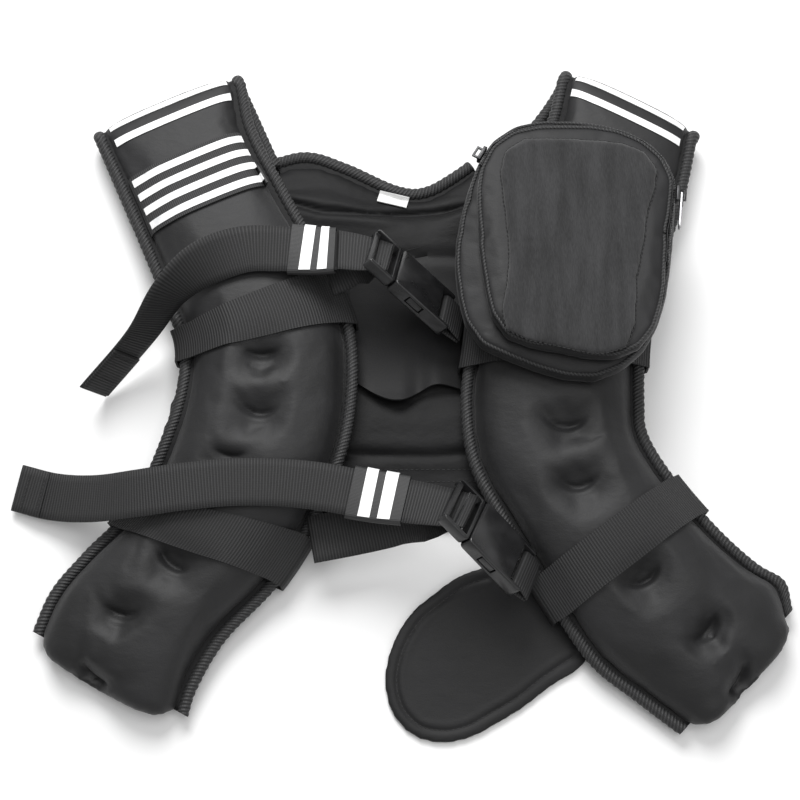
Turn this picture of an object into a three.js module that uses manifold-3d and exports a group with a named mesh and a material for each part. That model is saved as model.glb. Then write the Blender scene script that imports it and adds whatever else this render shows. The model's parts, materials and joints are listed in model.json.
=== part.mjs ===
// Weighted vest lying on its back, its two sand-filled front panels folded over at the shoulders.
// Millimetres, +Z up, +Y towards the neck, +X towards the wearer's left side.
// The underside of the back panel lies at height 0, around the origin.
import * as THREE from "three";
import { mergeVertices } from "three/addons/utils/BufferGeometryUtils.js";
import Module from "manifold-3d";

const wasm = await Module();
wasm.setup();

// Overall spread, half of the width and half of the length that the plan tables below share out
const halfWidth = 255;
const halfLength = 227;

// Front panels
const panelWidth = 104;
const panelThickness = 34;
const panelEndBulge = 15;
const seamThickness = 4;
const seamShare = 0.3;

// Shoulders, where each front panel turns over and runs back under itself
const shoulderThickness = 11;
const shoulderGap = 6;
const returnLength = 58;

// Edge binding
const bindingWidth = 7.5;
const bindingThickness = 6.5;

// Back panel and the thin cloth pieces on and beside it
const backThickness = 11.5;
const innerFlapThickness = 2;
const rearFlapThickness = 4;
const labelThickness = 1;

// Webbing, its sleeves and the elastic band
const webbingWidth = 30;
const webbingThickness = 1.5;
const sleeveWall = 1.2;
const sleeveGap = 0.9;
const sleeveLength = 34;
const barThickness = 0.7;
const barWidth = 7.5;
const barPlaces = [0.34, 0.7];
const elasticWidth = 44;
const elasticThickness = 1.6;
const stripeWidth = 5.2;
const stripeThickness = 0.6;
const stripeCount = 4;

// Side-release buckle
const buckleLength = 70;
const buckleWidth = 37;
const buckleThickness = 10;
const frameLength = 22;
const railWidth = 2.6;
const endBarWidth = 4;
const midBarWidth = 2.6;
const midBarFrom = 10;
const barRounding = 1.1;
const barDepth = 3;
const railDepth = 8;
const armLength = 28;
const armWidth = 4;
const armThickness = 4.2;
const socketClearance = 0.5;
const windowFrom = 36;
const windowLength = 13;
const cornerRadius = 3;

// Pouch
const pouchWidth = 145;
const pouchLength = 179;
const rearDepth = 17;
const frontDepth = 14;
const faceDepth = 3.5;
const zipWidth = 5;
const zipThickness = 2.2;
const sliderLength = 10;
const sliderWidth = 7;
const sliderThickness = 2.4;
const bridgeLength = 8;
const bridgeHeight = 4.2;
const bridgeWire = 1.5;
const pullerLength = 24;
const pullerWidth = 5.5;
const pullerThickness = 1.3;
const pullerArm = 1.3;
const eyeBar = 1.6;
const eyeLength = 6.5;

// Clearances
const touch = 0.35;
const drape = 1.2;
const layerGap = 2.6;
const loopGap = 0.3;

// The front layer starts its turn at this height above the surface
const layerHeight = shoulderThickness + shoulderGap;

// Facets
const flatSteps = 30;
const foldSteps = 5;
const returnSteps = 2;
const endSteps = 3;
const acrossSteps = 12;
const flapSteps = 40;

// Plan lines of the front panels, from the low end (at 0) to the start of the shoulder fold (at 1).
// side and along are shares of halfWidth and halfLength, width of panelWidth, thick of panelThickness,
// lift of layerHeight; turn is the direction across the panel, in degrees.
const rightPanelRows = [
  { at: 0, side: -0.718, along: -0.768, width: 0.95, thick: 0.86, lift: 0, turn: -28.3 },
  { at: 0.05, side: -0.69, along: -0.681, width: 0.95, thick: 0.96, lift: 0, turn: -33 },
  { at: 0.13, side: -0.618, along: -0.56, width: 0.9, thick: 1, lift: 0.06, turn: -31.3 },
  { at: 0.246, side: -0.489, along: -0.406, width: 0.92, thick: 1, lift: 0.3, turn: -25.4 },
  { at: 0.417, side: -0.365, along: -0.126, width: 0.99, thick: 1, lift: 0.86, turn: -9.6 },
  { at: 0.51, side: -0.336, along: 0.041, width: 0.98, thick: 1, lift: 0.88, turn: 0 },
  { at: 0.586, side: -0.339, along: 0.181, width: 0.955, thick: 0.98, lift: 0.88, turn: 6.7 },
  { at: 0.691, side: -0.402, along: 0.358, width: 0.905, thick: 0.88, lift: 0.88, turn: 19.4 },
  { at: 0.807, side: -0.483, along: 0.549, width: 0.86, thick: 0.68, lift: 0.92, turn: 23.9 },
  { at: 0.928, side: -0.565, along: 0.75, width: 0.84, thick: 0.42, lift: 0.97, turn: 24.5 },
  { at: 1, side: -0.602, along: 0.876, width: 0.9, thick: 0.324, lift: 1, turn: 23.8 },
];
const leftPanelRows = [
  { at: 0, side: 0.833, along: -0.762, width: 0.9, thick: 0.86, lift: 0, turn: 46.5 },
  { at: 0.06, side: 0.771, along: -0.676, width: 1.05, thick: 0.96, lift: 0, turn: 38 },
  { at: 0.119, side: 0.69, along: -0.612, width: 1.065, thick: 1, lift: 0.1, turn: 32.4 },
  { at: 0.222, side: 0.576, along: -0.469, width: 0.99, thick: 1, lift: 0.5, turn: 29 },
  { at: 0.364, side: 0.444, along: -0.25, width: 0.935, thick: 1, lift: 0.84, turn: 25 },
  { at: 0.434, side: 0.395, along: -0.132, width: 0.98, thick: 1, lift: 0.88, turn: 12 },
  { at: 0.498, side: 0.385, along: -0.014, width: 1, thick: 1, lift: 0.88, turn: 0.6 },
  { at: 0.582, side: 0.396, along: 0.144, width: 0.98, thick: 0.96, lift: 0.88, turn: 0.3 },
  { at: 0.692, side: 0.427, along: 0.344, width: 0.96, thick: 0.8, lift: 0.9, turn: -10 },
  { at: 0.8, side: 0.491, along: 0.532, width: 0.92, thick: 0.6, lift: 0.94, turn: -16 },
  { at: 0.927, side: 0.569, along: 0.753, width: 0.855, thick: 0.4, lift: 0.98, turn: -26 },
  { at: 1, side: 0.597, along: 0.885, width: 0.85, thick: 0.324, lift: 1, turn: -27 },
];

// Dents in the filling: place in shares of halfWidth and halfLength, long and broad in shares of
// panelWidth, deep in shares of panelThickness, turn of the long way in degrees.
const rightDents = [
  { side: -0.345, along: 0.095, long: 0.15, broad: 0.1, deep: 0.3, turn: 4 },
  { side: -0.353, along: -0.07, long: 0.17, broad: 0.11, deep: 0.34, turn: -4 },
  { side: -0.43, along: -0.2, long: 0.16, broad: 0.09, deep: 0.2, turn: -8 },
  { side: -0.561, along: -0.48, long: 0.15, broad: 0.11, deep: 0.34, turn: -40 },
  { side: -0.686, along: -0.62, long: 0.13, broad: 0.1, deep: 0.32, turn: -10 },
  { side: -0.775, along: -0.82, long: 0.17, broad: 0.12, deep: 0.4, turn: -40 },
];
const leftDents = [
  { side: 0.416, along: -0.1, long: 0.18, broad: 0.1, deep: 0.32, turn: 2 },
  { side: 0.443, along: -0.27, long: 0.17, broad: 0.11, deep: 0.34, turn: 8 },
  { side: 0.6, along: -0.525, long: 0.14, broad: 0.1, deep: 0.34, turn: 30 },
  { side: 0.753, along: -0.665, long: 0.13, broad: 0.1, deep: 0.32, turn: 45 },
  { side: 0.85, along: -0.82, long: 0.15, broad: 0.12, deep: 0.4, turn: 60 },
];

// Outline of the back panel in shares of halfWidth and halfLength
const neckRows = [
  { at: 0, side: -0.33, along: 0.735 },
  { at: 0.15, side: -0.25, along: 0.755 },
  { at: 0.35, side: -0.15, along: 0.72 },
  { at: 0.55, side: -0.01, along: 0.648 },
  { at: 0.75, side: 0.08, along: 0.648 },
  { at: 0.9, side: 0.165, along: 0.705 },
  { at: 1, side: 0.21, along: 0.745 },
];
const backLeftRows = [
  { at: 0, side: 0.56, along: -0.3 },
  { at: 0.25, side: 0.55, along: -0.1 },
  { at: 0.5, side: 0.55, along: 0.13 },
  { at: 0.75, side: 0.56, along: 0.36 },
];
const backRightRows = [
  { at: 0, side: -0.665, along: -0.25 },
  { at: 0.25, side: -0.6, along: 0 },
  { at: 0.5, side: -0.57, along: 0.2 },
  { at: 0.75, side: -0.6, along: 0.4 },
];
const backHemRows = [
  { at: 0, side: -0.665, along: -0.25 },
  { at: 0.3, side: -0.25, along: -0.36 },
  { at: 0.6, side: 0.2, along: -0.36 },
  { at: 1, side: 0.56, along: -0.3 },
];

// Rolls across the back panel from its lower hem (at 0) to the neck (at 1), rise in shares of backThickness
const backRollRows = [
  { at: 0, rise: 0.45 },
  { at: 0.1, rise: 0.8 },
  { at: 0.17, rise: 0.72 },
  { at: 0.22, rise: 1 },
  { at: 0.3, rise: 0.98 },
  { at: 0.36, rise: 0.62 },
  { at: 0.48, rise: 0.62 },
  { at: 0.62, rise: 0.7 },
  { at: 0.74, rise: 0.95 },
  { at: 0.83, rise: 1.16 },
  { at: 0.88, rise: 1 },
  { at: 0.9, rise: 0.6 },
  { at: 0.96, rise: 0.62 },
  { at: 1, rise: 0.4 },
];

// Loose inner flap on the back panel: its hem from right to left, rise of the ruffle in shares of
// backThickness above the panel
const innerFlapRows = [
  { at: 0, side: -0.13, along: 0.08, top: 0.46, rise: 0.1 },
  { at: 0.22, side: -0.055, along: 0.02, top: 0.46, rise: 0.5 },
  { at: 0.42, side: 0.0, along: 0.005, top: 0.46, rise: 0.7 },
  { at: 0.6, side: 0.045, along: 0.03, top: 0.47, rise: 0.35 },
  { at: 0.8, side: 0.095, along: 0.055, top: 0.48, rise: 0.6 },
  { at: 1, side: 0.155, along: 0.045, top: 0.48, rise: 0.2 },
];

// Rounded rear flap, outline in shares of halfWidth and halfLength
const rearFlapRows = [
  { side: 0.215, along: -0.463 },
  { side: 0.149, along: -0.489 },
  { side: 0.082, along: -0.542 },
  { side: 0.027, along: -0.595 },
  { side: -0.016, along: -0.674 },
  { side: -0.037, along: -0.76 },
  { side: -0.033, along: -0.83 },
  { side: -0.01, along: -0.89 },
  { side: 0.04, along: -0.94 },
  { side: 0.11, along: -0.955 },
  { side: 0.176, along: -0.94 },
  { side: 0.235, along: -0.905 },
  { side: 0.306, along: -0.858 },
  { side: 0.373, along: -0.8 },
  { side: 0.46, along: -0.735 },
  { side: 0.5, along: -0.6 },
  { side: 0.46, along: -0.48 },
  { side: 0.33, along: -0.44 },
];

// Webbing straps from the free end (at 0) to the buckle (at 1): height of the middle of the webbing
// in shares of halfLength, roll about its own line in degrees.
const chestTailRows = [
  { at: 0, side: -0.784, along: 0.035, height: 0.068, roll: 74 },
  { at: 0.16, side: -0.655, along: 0.185, height: 0.14, roll: 72 },
  { at: 0.3, side: -0.576, along: 0.282, height: 0.235, roll: 58 },
  { at: 0.44, side: -0.5, along: 0.355, height: 0.255, roll: 34 },
  { at: 0.58, side: -0.4, along: 0.405, height: 0.24, roll: 8 },
  { at: 0.72, side: -0.302, along: 0.41, height: 0.235, roll: 0 },
  { at: 0.84, side: -0.2, along: 0.4, height: 0.245, roll: -12 },
  { at: 1, side: -0.105, along: 0.402, height: 0.262, roll: -24 },
];
const waistTailRows = [
  { at: 0, side: -0.972, along: -0.238, height: 0.03, roll: 10 },
  { at: 0.1, side: -0.875, along: -0.27, height: 0.06, roll: 6 },
  { at: 0.22, side: -0.765, along: -0.287, height: 0.12, roll: 0 },
  { at: 0.33, side: -0.655, along: -0.287, height: 0.19, roll: 0 },
  { at: 0.44, side: -0.54, along: -0.274, height: 0.22, roll: 0 },
  { at: 0.56, side: -0.42, along: -0.262, height: 0.225, roll: 0 },
  { at: 0.68, side: -0.3, along: -0.262, height: 0.225, roll: 0 },
  { at: 0.8, side: -0.18, along: -0.276, height: 0.225, roll: 0 },
  { at: 0.9, side: -0.06, along: -0.302, height: 0.225, roll: -8 },
  { at: 1, side: 0.075, along: -0.327, height: 0.25, roll: -22 },
];

// Short standing ends of the straps, from below the buckle to the panel
const chestStandRows = [
  { at: 0, side: -0.115, along: 0.385, height: 0.222, roll: -24 },
  { at: 0.5, side: -0.15, along: 0.372, height: 0.197, roll: -10 },
  { at: 1, side: -0.185, along: 0.36, height: 0.162, roll: 0 },
];
const waistStandRows = [
  { at: 0, side: 0.06, along: -0.34, height: 0.208, roll: -20 },
  { at: 0.5, side: -0.08, along: -0.375, height: 0.155, roll: -8 },
  { at: 1, side: -0.222, along: -0.405, height: 0.1215, roll: 4 },
];

// Length of the load straps beyond the sockets, steps of the tails and first step of each sleeve
const chestLoadLength = 12.6;
const waistLoadLength = 8.5;
const chestTailSteps = 18;
const waistTailSteps = 24;
const chestSleeveFrom = 13;
const waistSleeveFrom = 20;

// Label place and size in shares of halfWidth and halfLength, turn in degrees
const labelPlace = { side: -0.018, along: 0.63, width: 0.08, length: 0.035, turn: -14 };

// Places of the buckles: the outer end of the frame, in shares of halfWidth and halfLength, and the
// turn of the buckle about Z, its dip towards the socket and its roll, in degrees.
const chestBuckle = { side: -0.073, along: 0.4, height: 0.284, turn: -36, dip: 29, roll: -44 };
const waistBuckle = { side: 0.12, along: -0.325, height: 0.315, turn: -42.5, dip: 26, roll: -38 };

// Webbing bands round the front panels: place along the panel and slant of the band
const chestBandRight = { at: 0.61, slant: 0.5 };
const waistBandRight = { at: 0.255, slant: 0.55 };
const chestBandLeft = { at: 0.59, slant: 0 };
const waistBandLeft = { at: 0.255, slant: 0.5 };

// Elastic band and stripes, distances down from the start of the shoulder fold
const elasticFromFold = 78;
const foldStripeFromFold = -9;
const shoulderStripeFromFold = 4;

// Pouch centre in shares of halfWidth and halfLength, outlines in shares of its half sizes
const pouchPlace = { side: 0.424, along: 0.405 };
const rearOutline = [
  { side: -0.8, along: 0.65 },
  { side: -0.6, along: 0.89 },
  { side: -0.29, along: 0.99 },
  { side: 0.11, along: 0.99 },
  { side: 0.5, along: 0.93 },
  { side: 0.8, along: 0.79 },
  { side: 0.97, along: 0.55 },
  { side: 0.95, along: 0.28 },
  { side: 0.91, along: -0.03 },
  { side: 0.81, along: -0.48 },
  { side: 0.62, along: -0.8 },
  { side: 0.26, along: -1 },
  { side: -0.06, along: -1 },
  { side: -0.48, along: -0.88 },
  { side: -0.85, along: -0.72 },
  { side: -0.99, along: -0.35 },
  { side: -1, along: 0.01 },
  { side: -0.9, along: 0.4 },
];
const frontOutline = [
  { side: -0.81, along: 0.16 },
  { side: -0.81, along: 0.42 },
  { side: -0.72, along: 0.67 },
  { side: -0.455, along: 0.84 },
  { side: -0.11, along: 0.87 },
  { side: 0.41, along: 0.845 },
  { side: 0.75, along: 0.7 },
  { side: 0.91, along: 0.49 },
  { side: 0.89, along: 0.235 },
  { side: 0.84, along: -0.01 },
  { side: 0.79, along: -0.45 },
  { side: 0.63, along: -0.79 },
  { side: 0.32, along: -0.92 },
  { side: -0.11, along: -0.86 },
  { side: -0.54, along: -0.78 },
  { side: -0.69, along: -0.63 },
  { side: -0.76, along: -0.37 },
  { side: -0.8, along: -0.09 },
];
const faceOutline = [
  { side: -0.61, along: 0.48 },
  { side: -0.58, along: 0.63 },
  { side: -0.43, along: 0.73 },
  { side: -0.03, along: 0.74 },
  { side: 0.4, along: 0.715 },
  { side: 0.62, along: 0.67 },
  { side: 0.76, along: 0.54 },
  { side: 0.77, along: 0.4 },
  { side: 0.68, along: 0.21 },
  { side: 0.63, along: -0.07 },
  { side: 0.55, along: -0.335 },
  { side: 0.52, along: -0.69 },
  { side: 0.43, along: -0.86 },
  { side: 0.23, along: -0.91 },
  { side: -0.18, along: -0.84 },
  { side: -0.54, along: -0.76 },
  { side: -0.63, along: -0.66 },
  { side: -0.58, along: -0.425 },
  { side: -0.55, along: -0.16 },
  { side: -0.58, along: 0.21 },
];
const compartmentRows = [
  { rise: 0, spread: 0.95 },
  { rise: 0.3, spread: 1 },
  { rise: 0.72, spread: 1 },
  { rise: 1, spread: 0.95 },
];
const faceRows = [
  { rise: 0, spread: 1 },
  { rise: 0.65, spread: 1 },
  { rise: 1, spread: 0.955 },
];
const outlinePoints = 28;
const pouchTilt = -5;

// Run of the zip round the front compartment and places of the two sliders, in steps round an outline
const zipRun = { from: 2, to: 14 };
const frontSliderAt = 11.5;
const rearSliderAt = 0.5;

// Materials
const clothBlack = 0x1c1c1e;
const finish = {
  neoprene: { color: clothBlack, roughness: 0.62, metalness: 0 },
  binding: { color: 0x161617, roughness: 0.7, metalness: 0 },
  webbing: { color: 0x2a2a2c, roughness: 0.75, metalness: 0 },
  reflective: { color: 0xededec, roughness: 0.45, metalness: 0 },
  sleeve: { color: 0x2b2b2d, roughness: 0.6, metalness: 0 },
  plastic: { color: 0x141415, roughness: 0.38, metalness: 0 },
  brushed: { color: 0x2f2f31, roughness: 0.85, metalness: 0 },
  lining: { color: 0x202224, roughness: 0.8, metalness: 0 },
  label: { color: 0xdedddb, roughness: 0.7, metalness: 0 },
  metal: { color: 0x8b8c8f, roughness: 0.35, metalness: 0.9 },
};

const vest = new THREE.Group();
const upward = new THREE.Vector3(0, 0, 1);

// Adds one named piece to the vest
function addPiece(name, geometry, look, group = vest) {
  const mesh = new THREE.Mesh(geometry, new THREE.MeshStandardMaterial(finish[look]));
  mesh.name = name;
  group.add(mesh);
  mesh.updateWorldMatrix(true, false);
  return mesh;
}

// A plan point of the whole vest, given in shares
function planPoint(row, height = 0) {
  return new THREE.Vector3(row.side * halfWidth, row.along * halfLength, height);
}

// The direction across a panel, turned about Z
function direction(degrees) {
  return new THREE.Vector3(1, 0, 0).applyAxisAngle(upward, THREE.MathUtils.degToRad(degrees));
}

// Reads a table as smooth curves, one for each column but the first, which gives their places
function curves(rows) {
  const names = Object.keys(rows[0]).filter((name) => name !== "at");
  const places = rows.map((row) => row.at);
  const values = rows.flatMap((row) => names.map((name) => row[name]));
  const track = new THREE.CubicInterpolant(places, values, names.length);
  return (at) => {
    const found = track.evaluate(at);
    return Object.fromEntries(names.map((name, i) => [name, found[i]]));
  };
}

// Evenly spaced numbers from one value to another
function spaced(from, to, steps) {
  return Array.from({ length: steps + 1 }, (_, i) => from + ((to - from) * i) / steps);
}

// The signed volume of a closed mesh
function signedVolume(points, faces) {
  const normal = new THREE.Vector3();
  let sum = 0;
  for (let i = 0; i < faces.length; i += 3) {
    const [a, b, c] = [points[faces[i]], points[faces[i + 1]], points[faces[i + 2]]];
    sum += a.dot(normal.crossVectors(b, c)) / 6;
  }
  return sum;
}

// A closed solid through rings that hold equally many points. Its ends are ladders from the first half
// of a ring to its second, or fans about the middle of a ring; a loop joins its last ring to its first.
function loft(rings, ends = "ladder") {
  const loop = ends === "loop";
  const count = rings[0].length;
  const points = rings.flat();
  const faces = [];
  const spans = loop ? rings.length : rings.length - 1;
  for (let i = 0; i < spans; i++) {
    const here = i * count;
    const next = ((i + 1) % rings.length) * count;
    for (let j = 0; j < count; j++) {
      const k = (j + 1) % count;
      faces.push(here + j, here + k, next + k, here + j, next + k, next + j);
    }
  }
  const closings = loop ? [] : [[0, 1], [points.length - count, -1]];
  for (const [start, order] of closings) {
    if (ends === "ladder") {
      for (let j = 0; j < count / 2 - 1; j++) {
        const [a, b, c, d] = [j, j + 1, count - 2 - j, count - 1 - j].map((k) => start + k);
        faces.push(...(order < 0 ? [a, b, c, a, c, d] : [c, b, a, d, c, a]));
      }
    } else {
      const middle = points.slice(start, start + count).reduce((a, b) => a.clone().add(b));
      points.push(middle.divideScalar(count));
      for (let j = 0; j < count; j++) {
        const pair = [start + ((j + 1) % count), start + j];
        if (order < 0) pair.reverse();
        faces.push(points.length - 1, ...pair);
      }
    }
  }
  if (signedVolume(points, faces) < 0) faces.reverse();
  const geometry = new THREE.BufferGeometry().setFromPoints(points);
  geometry.setIndex(faces);
  return geometry;
}

// Joins and cuts of closed geometries
function solid(geometry) {
  const bare = geometry.clone();
  bare.deleteAttribute("normal");
  bare.deleteAttribute("uv");
  const merged = mergeVertices(bare, 1e-4);
  return new wasm.Manifold(
    new wasm.Mesh({
      numProp: 3,
      vertProperties: new Float32Array(merged.attributes.position.array),
      triVerts: new Uint32Array(merged.index.array),
    }),
  );
}
function fromSolid(made) {
  const mesh = made.getMesh();
  const geometry = new THREE.BufferGeometry();
  geometry.setAttribute("position", new THREE.BufferAttribute(mesh.vertProperties, 3));
  geometry.setIndex(new THREE.BufferAttribute(mesh.triVerts, 1));
  return geometry;
}

// A block between two corners
function block(low, high) {
  const size = high.map((value, i) => value - low[i]);
  const middle = high.map((value, i) => (value + low[i]) / 2);
  return new THREE.BoxGeometry(...size).translate(...middle);
}

// The height of the highest face of some pieces over a plan point, or of the surface they lie on
const probe = new THREE.Raycaster();
const skyHeight = 500;
function topAt(pieces, x, y) {
  probe.set(new THREE.Vector3(x, y, skyHeight), upward.clone().negate());
  const hits = probe.intersectObjects(pieces, false);
  return hits.length ? hits[0].point.z : 0;
}

// Back panel

// A line of plan points as equally spaced places along a table
function planLine(rows, steps, from = 0, to = 1) {
  const at = curves(rows);
  return spaced(from, to, steps).map((place) => planPoint(at(place)));
}

// The stations of one front panel: flat run, fold and return, each with the point under its middle,
// the directions across and up, the half width and the thickness.
function panelStations(rows, skew) {
  const at = curves(rows);
  const stations = spaced(0, 1, flatSteps).map((place) => {
    const row = at(place);
    return {
      middle: planPoint(row, Math.max(0, row.lift) * layerHeight),
      across: direction(row.turn),
      up: upward.clone(),
      half: (row.width * panelWidth) / 2,
      thick: Math.max(row.thick * panelThickness, shoulderThickness),
    };
  });
  const last = stations[flatSteps];
  last.thick = shoulderThickness;
  last.middle.z = layerHeight;
  const heading = new THREE.Vector3().crossVectors(upward, last.across);
  const axis = last.middle.clone().addScaledVector(upward, -shoulderGap / 2);
  for (let i = 1; i <= foldSteps; i++) {
    const up = upward.clone().applyAxisAngle(last.across, (-Math.PI * i) / foldSteps);
    const middle = axis.clone().addScaledVector(up, shoulderGap / 2);
    stations.push({ ...last, middle, up });
  }
  const turned = stations.at(-1);
  for (let i = 1; i <= returnSteps; i++) {
    const angle = THREE.MathUtils.degToRad((skew * i) / returnSteps);
    const across = last.across.clone().applyAxisAngle(upward, angle);
    const back = heading.clone().applyAxisAngle(upward, angle).negate();
    const middle = stations.at(-1).middle.clone().addScaledVector(back, returnLength / returnSteps);
    stations.push({ ...turned, middle, across });
  }
  return stations;
}

// Depth of all dents of a panel at a plan point
function dentDepth(dents, point) {
  return dents.reduce((sum, dent) => {
    const away = point.clone().sub(planPoint(dent)).setZ(0);
    away.applyAxisAngle(upward, THREE.MathUtils.degToRad(-dent.turn));
    const far = (away.x / dent.long) ** 2 + (away.y / dent.broad) ** 2;
    return sum + dent.deep * panelThickness * Math.exp(-far / panelWidth ** 2);
  }, 0);
}

// Places across a panel, from -1 to 1, closer together near the edges
const topPlaces = spaced(-1, 1, acrossSteps).map(
  (share) => 0.65 * share + 0.35 * Math.sin((share * Math.PI) / 2),
);
const underPlaces = [1, 0.8, 0, -0.8, -1];

// Height of the seam above the underside of a station
function seamHeight(station) {
  return (station.thick - seamThickness) * seamShare;
}

// One ring round a front panel; end runs from 0 on the panel to 1 at the tip of its rounded low end
function panelRing(station, dents, support, end = 0) {
  const seam = seamHeight(station);
  const full = station.thick - seam - seamThickness;
  const angle = end * THREE.MathUtils.degToRad(78);
  const heading = new THREE.Vector3().crossVectors(station.up, station.across);
  const flat = station.up.z > 0.999;
  const point = (share, height) => {
    const push = panelEndBulge * Math.sin(angle) * Math.sqrt(1 - share ** 4);
    const middleHeight = station.thick * 0.42;
    const squeezed = middleHeight + (height - middleHeight) * Math.cos(angle) ** 0.8;
    return station.middle
      .clone()
      .addScaledVector(station.across, share * station.half)
      .addScaledVector(heading, -push)
      .addScaledVector(station.up, squeezed);
  };
  const top = topPlaces.map((share) => {
    const crown = Math.sqrt(Math.max(0, 1 - Math.abs(share) ** 2.6));
    const made = point(share, seam + seamThickness + full * crown);
    if (flat) made.z -= dentDepth(dents, made) * crown * Math.cos(angle);
    return made;
  });
  const under = underPlaces.map((share) => {
    const made = point(share, seam * Math.abs(share) ** 6);
    if (flat && support.length) made.z = Math.max(made.z, topAt(support, made.x, made.y) + layerGap);
    return made;
  });
  return [...top, ...under];
}

// One ring of the binding that edges a front panel, on the side -1 or 1
function bindingRing(station, side) {
  const out = station.half + touch + bindingWidth / 2;
  const centre = station.middle
    .clone()
    .addScaledVector(station.across, side * out)
    .addScaledVector(station.up, seamHeight(station) + seamThickness / 2);
  return roundRing(centre, station.across, station.up, bindingWidth, bindingThickness);
}

// Six points of an oval about a centre
function roundRing(centre, across, up, width, height) {
  return spaced(0, 5, 5).map((i) => {
    const angle = (i * Math.PI) / 3;
    return centre
      .clone()
      .addScaledVector(across, (Math.cos(angle) * width) / 2)
      .addScaledVector(up, (Math.sin(angle) * height) / 2);
  });
}

const panels = {
  right: { stations: panelStations(rightPanelRows, 0), dents: rightDents },
  left: { stations: panelStations(leftPanelRows, -15), dents: leftDents },
};

// The corner of a shoulder's return, moved off its end by the clearance
function returnCorner(panel, side) {
  const end = panel.stations.at(-1);
  const onward = new THREE.Vector3().crossVectors(end.up, end.across);
  return end.middle
    .clone()
    .addScaledVector(end.across, side * (end.half + touch + bindingWidth))
    .addScaledVector(onward, touch)
    .setZ(0);
}

// Top edge of the back panel: the end of one return, the neck, the end of the other return
const topEdge = new THREE.CurvePath();
const neckLine = planLine(neckRows, 12);
const topPoints = [
  returnCorner(panels.right, -1),
  returnCorner(panels.right, 1),
  ...neckLine,
  returnCorner(panels.left, -1),
  returnCorner(panels.left, 1),
];
topPoints.slice(1).forEach((point, i) => topEdge.add(new THREE.LineCurve3(topPoints[i], point)));

// A side of the back panel, from the hem up to the corner of the return
function backSide(rows, corner) {
  const shares = [...rows.map((row) => planPoint(row)), corner];
  return new THREE.CatmullRomCurve3(shares, false, "centripetal");
}
const rightSide = backSide(backRightRows, topPoints[0]);
const leftSide = backSide(backLeftRows, topPoints.at(-1));
const hem = new THREE.CatmullRomCurve3(backHemRows.map((row) => planPoint(row)), false, "centripetal");

// A plan point of the back panel from its four edges, across from right to left and up from the hem
function backPoint(across, up) {
  const inset = new THREE.Vector3();
  inset.addScaledVector(hem.getPoint(across), 1 - up).addScaledVector(topEdge.getPoint(across), up);
  inset.addScaledVector(rightSide.getPoint(up), 1 - across).addScaledVector(leftSide.getPoint(up), across);
  inset.addScaledVector(hem.getPoint(0), -(1 - across) * (1 - up));
  inset.addScaledVector(hem.getPoint(1), -across * (1 - up));
  inset.addScaledVector(topPoints[0], -(1 - across) * up);
  inset.addScaledVector(topPoints.at(-1), -across * up);
  return inset;
}

const backAcross = 20;
function backRing(row) {
  const places = spaced(0, 1, backAcross);
  const top = places.map((place) => {
    const point = backPoint(place, row.at);
    const edge = 1 - Math.abs(2 * place - 1) ** 8;
    point.z = seamThickness + (row.rise * backThickness - seamThickness) * Math.sqrt(edge);
    return point;
  });
  const under = [...places].reverse().map((place) => backPoint(place, row.at));
  return [...top, ...under];
}
const backPanel = addPiece("back_panel", loft(backRollRows.map(backRing)), "neoprene");

// Rear flap, flat on the surface
const flapLine = new THREE.CatmullRomCurve3(rearFlapRows.map((row) => planPoint(row)), true, "centripetal");
const flapShape = new THREE.Shape(flapLine.getSpacedPoints(flapSteps).map((point) => new THREE.Vector2(point.x, point.y)));
const flapSolid = new THREE.ExtrudeGeometry(flapShape, { depth: rearFlapThickness, bevelEnabled: false });
const rearFlap = addPiece("rear_flap", flapSolid, "neoprene");

// Front panels and their bindings
function buildPanel(panel, name) {
  const ends = spaced(1, 0, endSteps).slice(0, endSteps);
  const rings = [
    ...ends.map((end) => panelRing(panel.stations[0], panel.dents, [], end)),
    ...panel.stations.map((station) => panelRing(station, panel.dents, [backPanel, rearFlap])),
  ];
  panel.rings = rings.slice(endSteps);
  panel.body = addPiece(`${name}_front_panel`, loft(rings, "fan"), "neoprene");
  panel.bindings = [-1, 1].map((side) => {
    const where = side === panel.inner ? "inner" : "outer";
    const ring = panel.stations.map((station) => bindingRing(station, side));
    return addPiece(`${name}_${where}_binding`, loft(ring), "binding");
  });
}
panels.right.inner = 1;
panels.left.inner = -1;
buildPanel(panels.right, "right");
buildPanel(panels.left, "left");

// A point on the upper face of a panel, at a place along its rings and across from -1 to 1
function onPanel(panel, place, share) {
  const lower = Math.min(Math.max(Math.floor(place), 0), panel.rings.length - 2);
  const column = topPlaces.findIndex((value) => value >= share - 1e-9);
  const right = Math.max(1, column);
  const part = (share - topPlaces[right - 1]) / (topPlaces[right] - topPlaces[right - 1]);
  const pick = (ring) => panel.rings[ring][right - 1].clone().lerp(panel.rings[ring][right], part);
  return pick(lower).lerp(pick(lower + 1), place - lower);
}

// A thin sheet on the upper face of a panel, between two lines across it, raised off it and held
// between two shares across; bow lifts its middle line along the panel.
function panelSheet(panel, from, to, span, raise, thickness, steps = 1) {
  const shares = topPlaces.filter((share) => Math.abs(share) < span - 0.02);
  const places = [-span, ...shares, span];
  const lines = spaced(from, to, steps);
  const grid = (height) =>
    places.map((share) => lines.map((line) => liftOff(panel, line, share, height)));
  const low = grid(raise);
  const high = grid(raise + thickness);
  return loft(places.map((_, i) => [...low[i], ...high[i].reverse()]));
}

// A point off the upper face of a panel by a distance along its local upward direction
function liftOff(panel, place, share, height) {
  const station = panel.stations[Math.round(Math.min(place, panel.stations.length - 1))];
  return onPanel(panel, place, share).addScaledVector(station.up, height);
}

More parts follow.
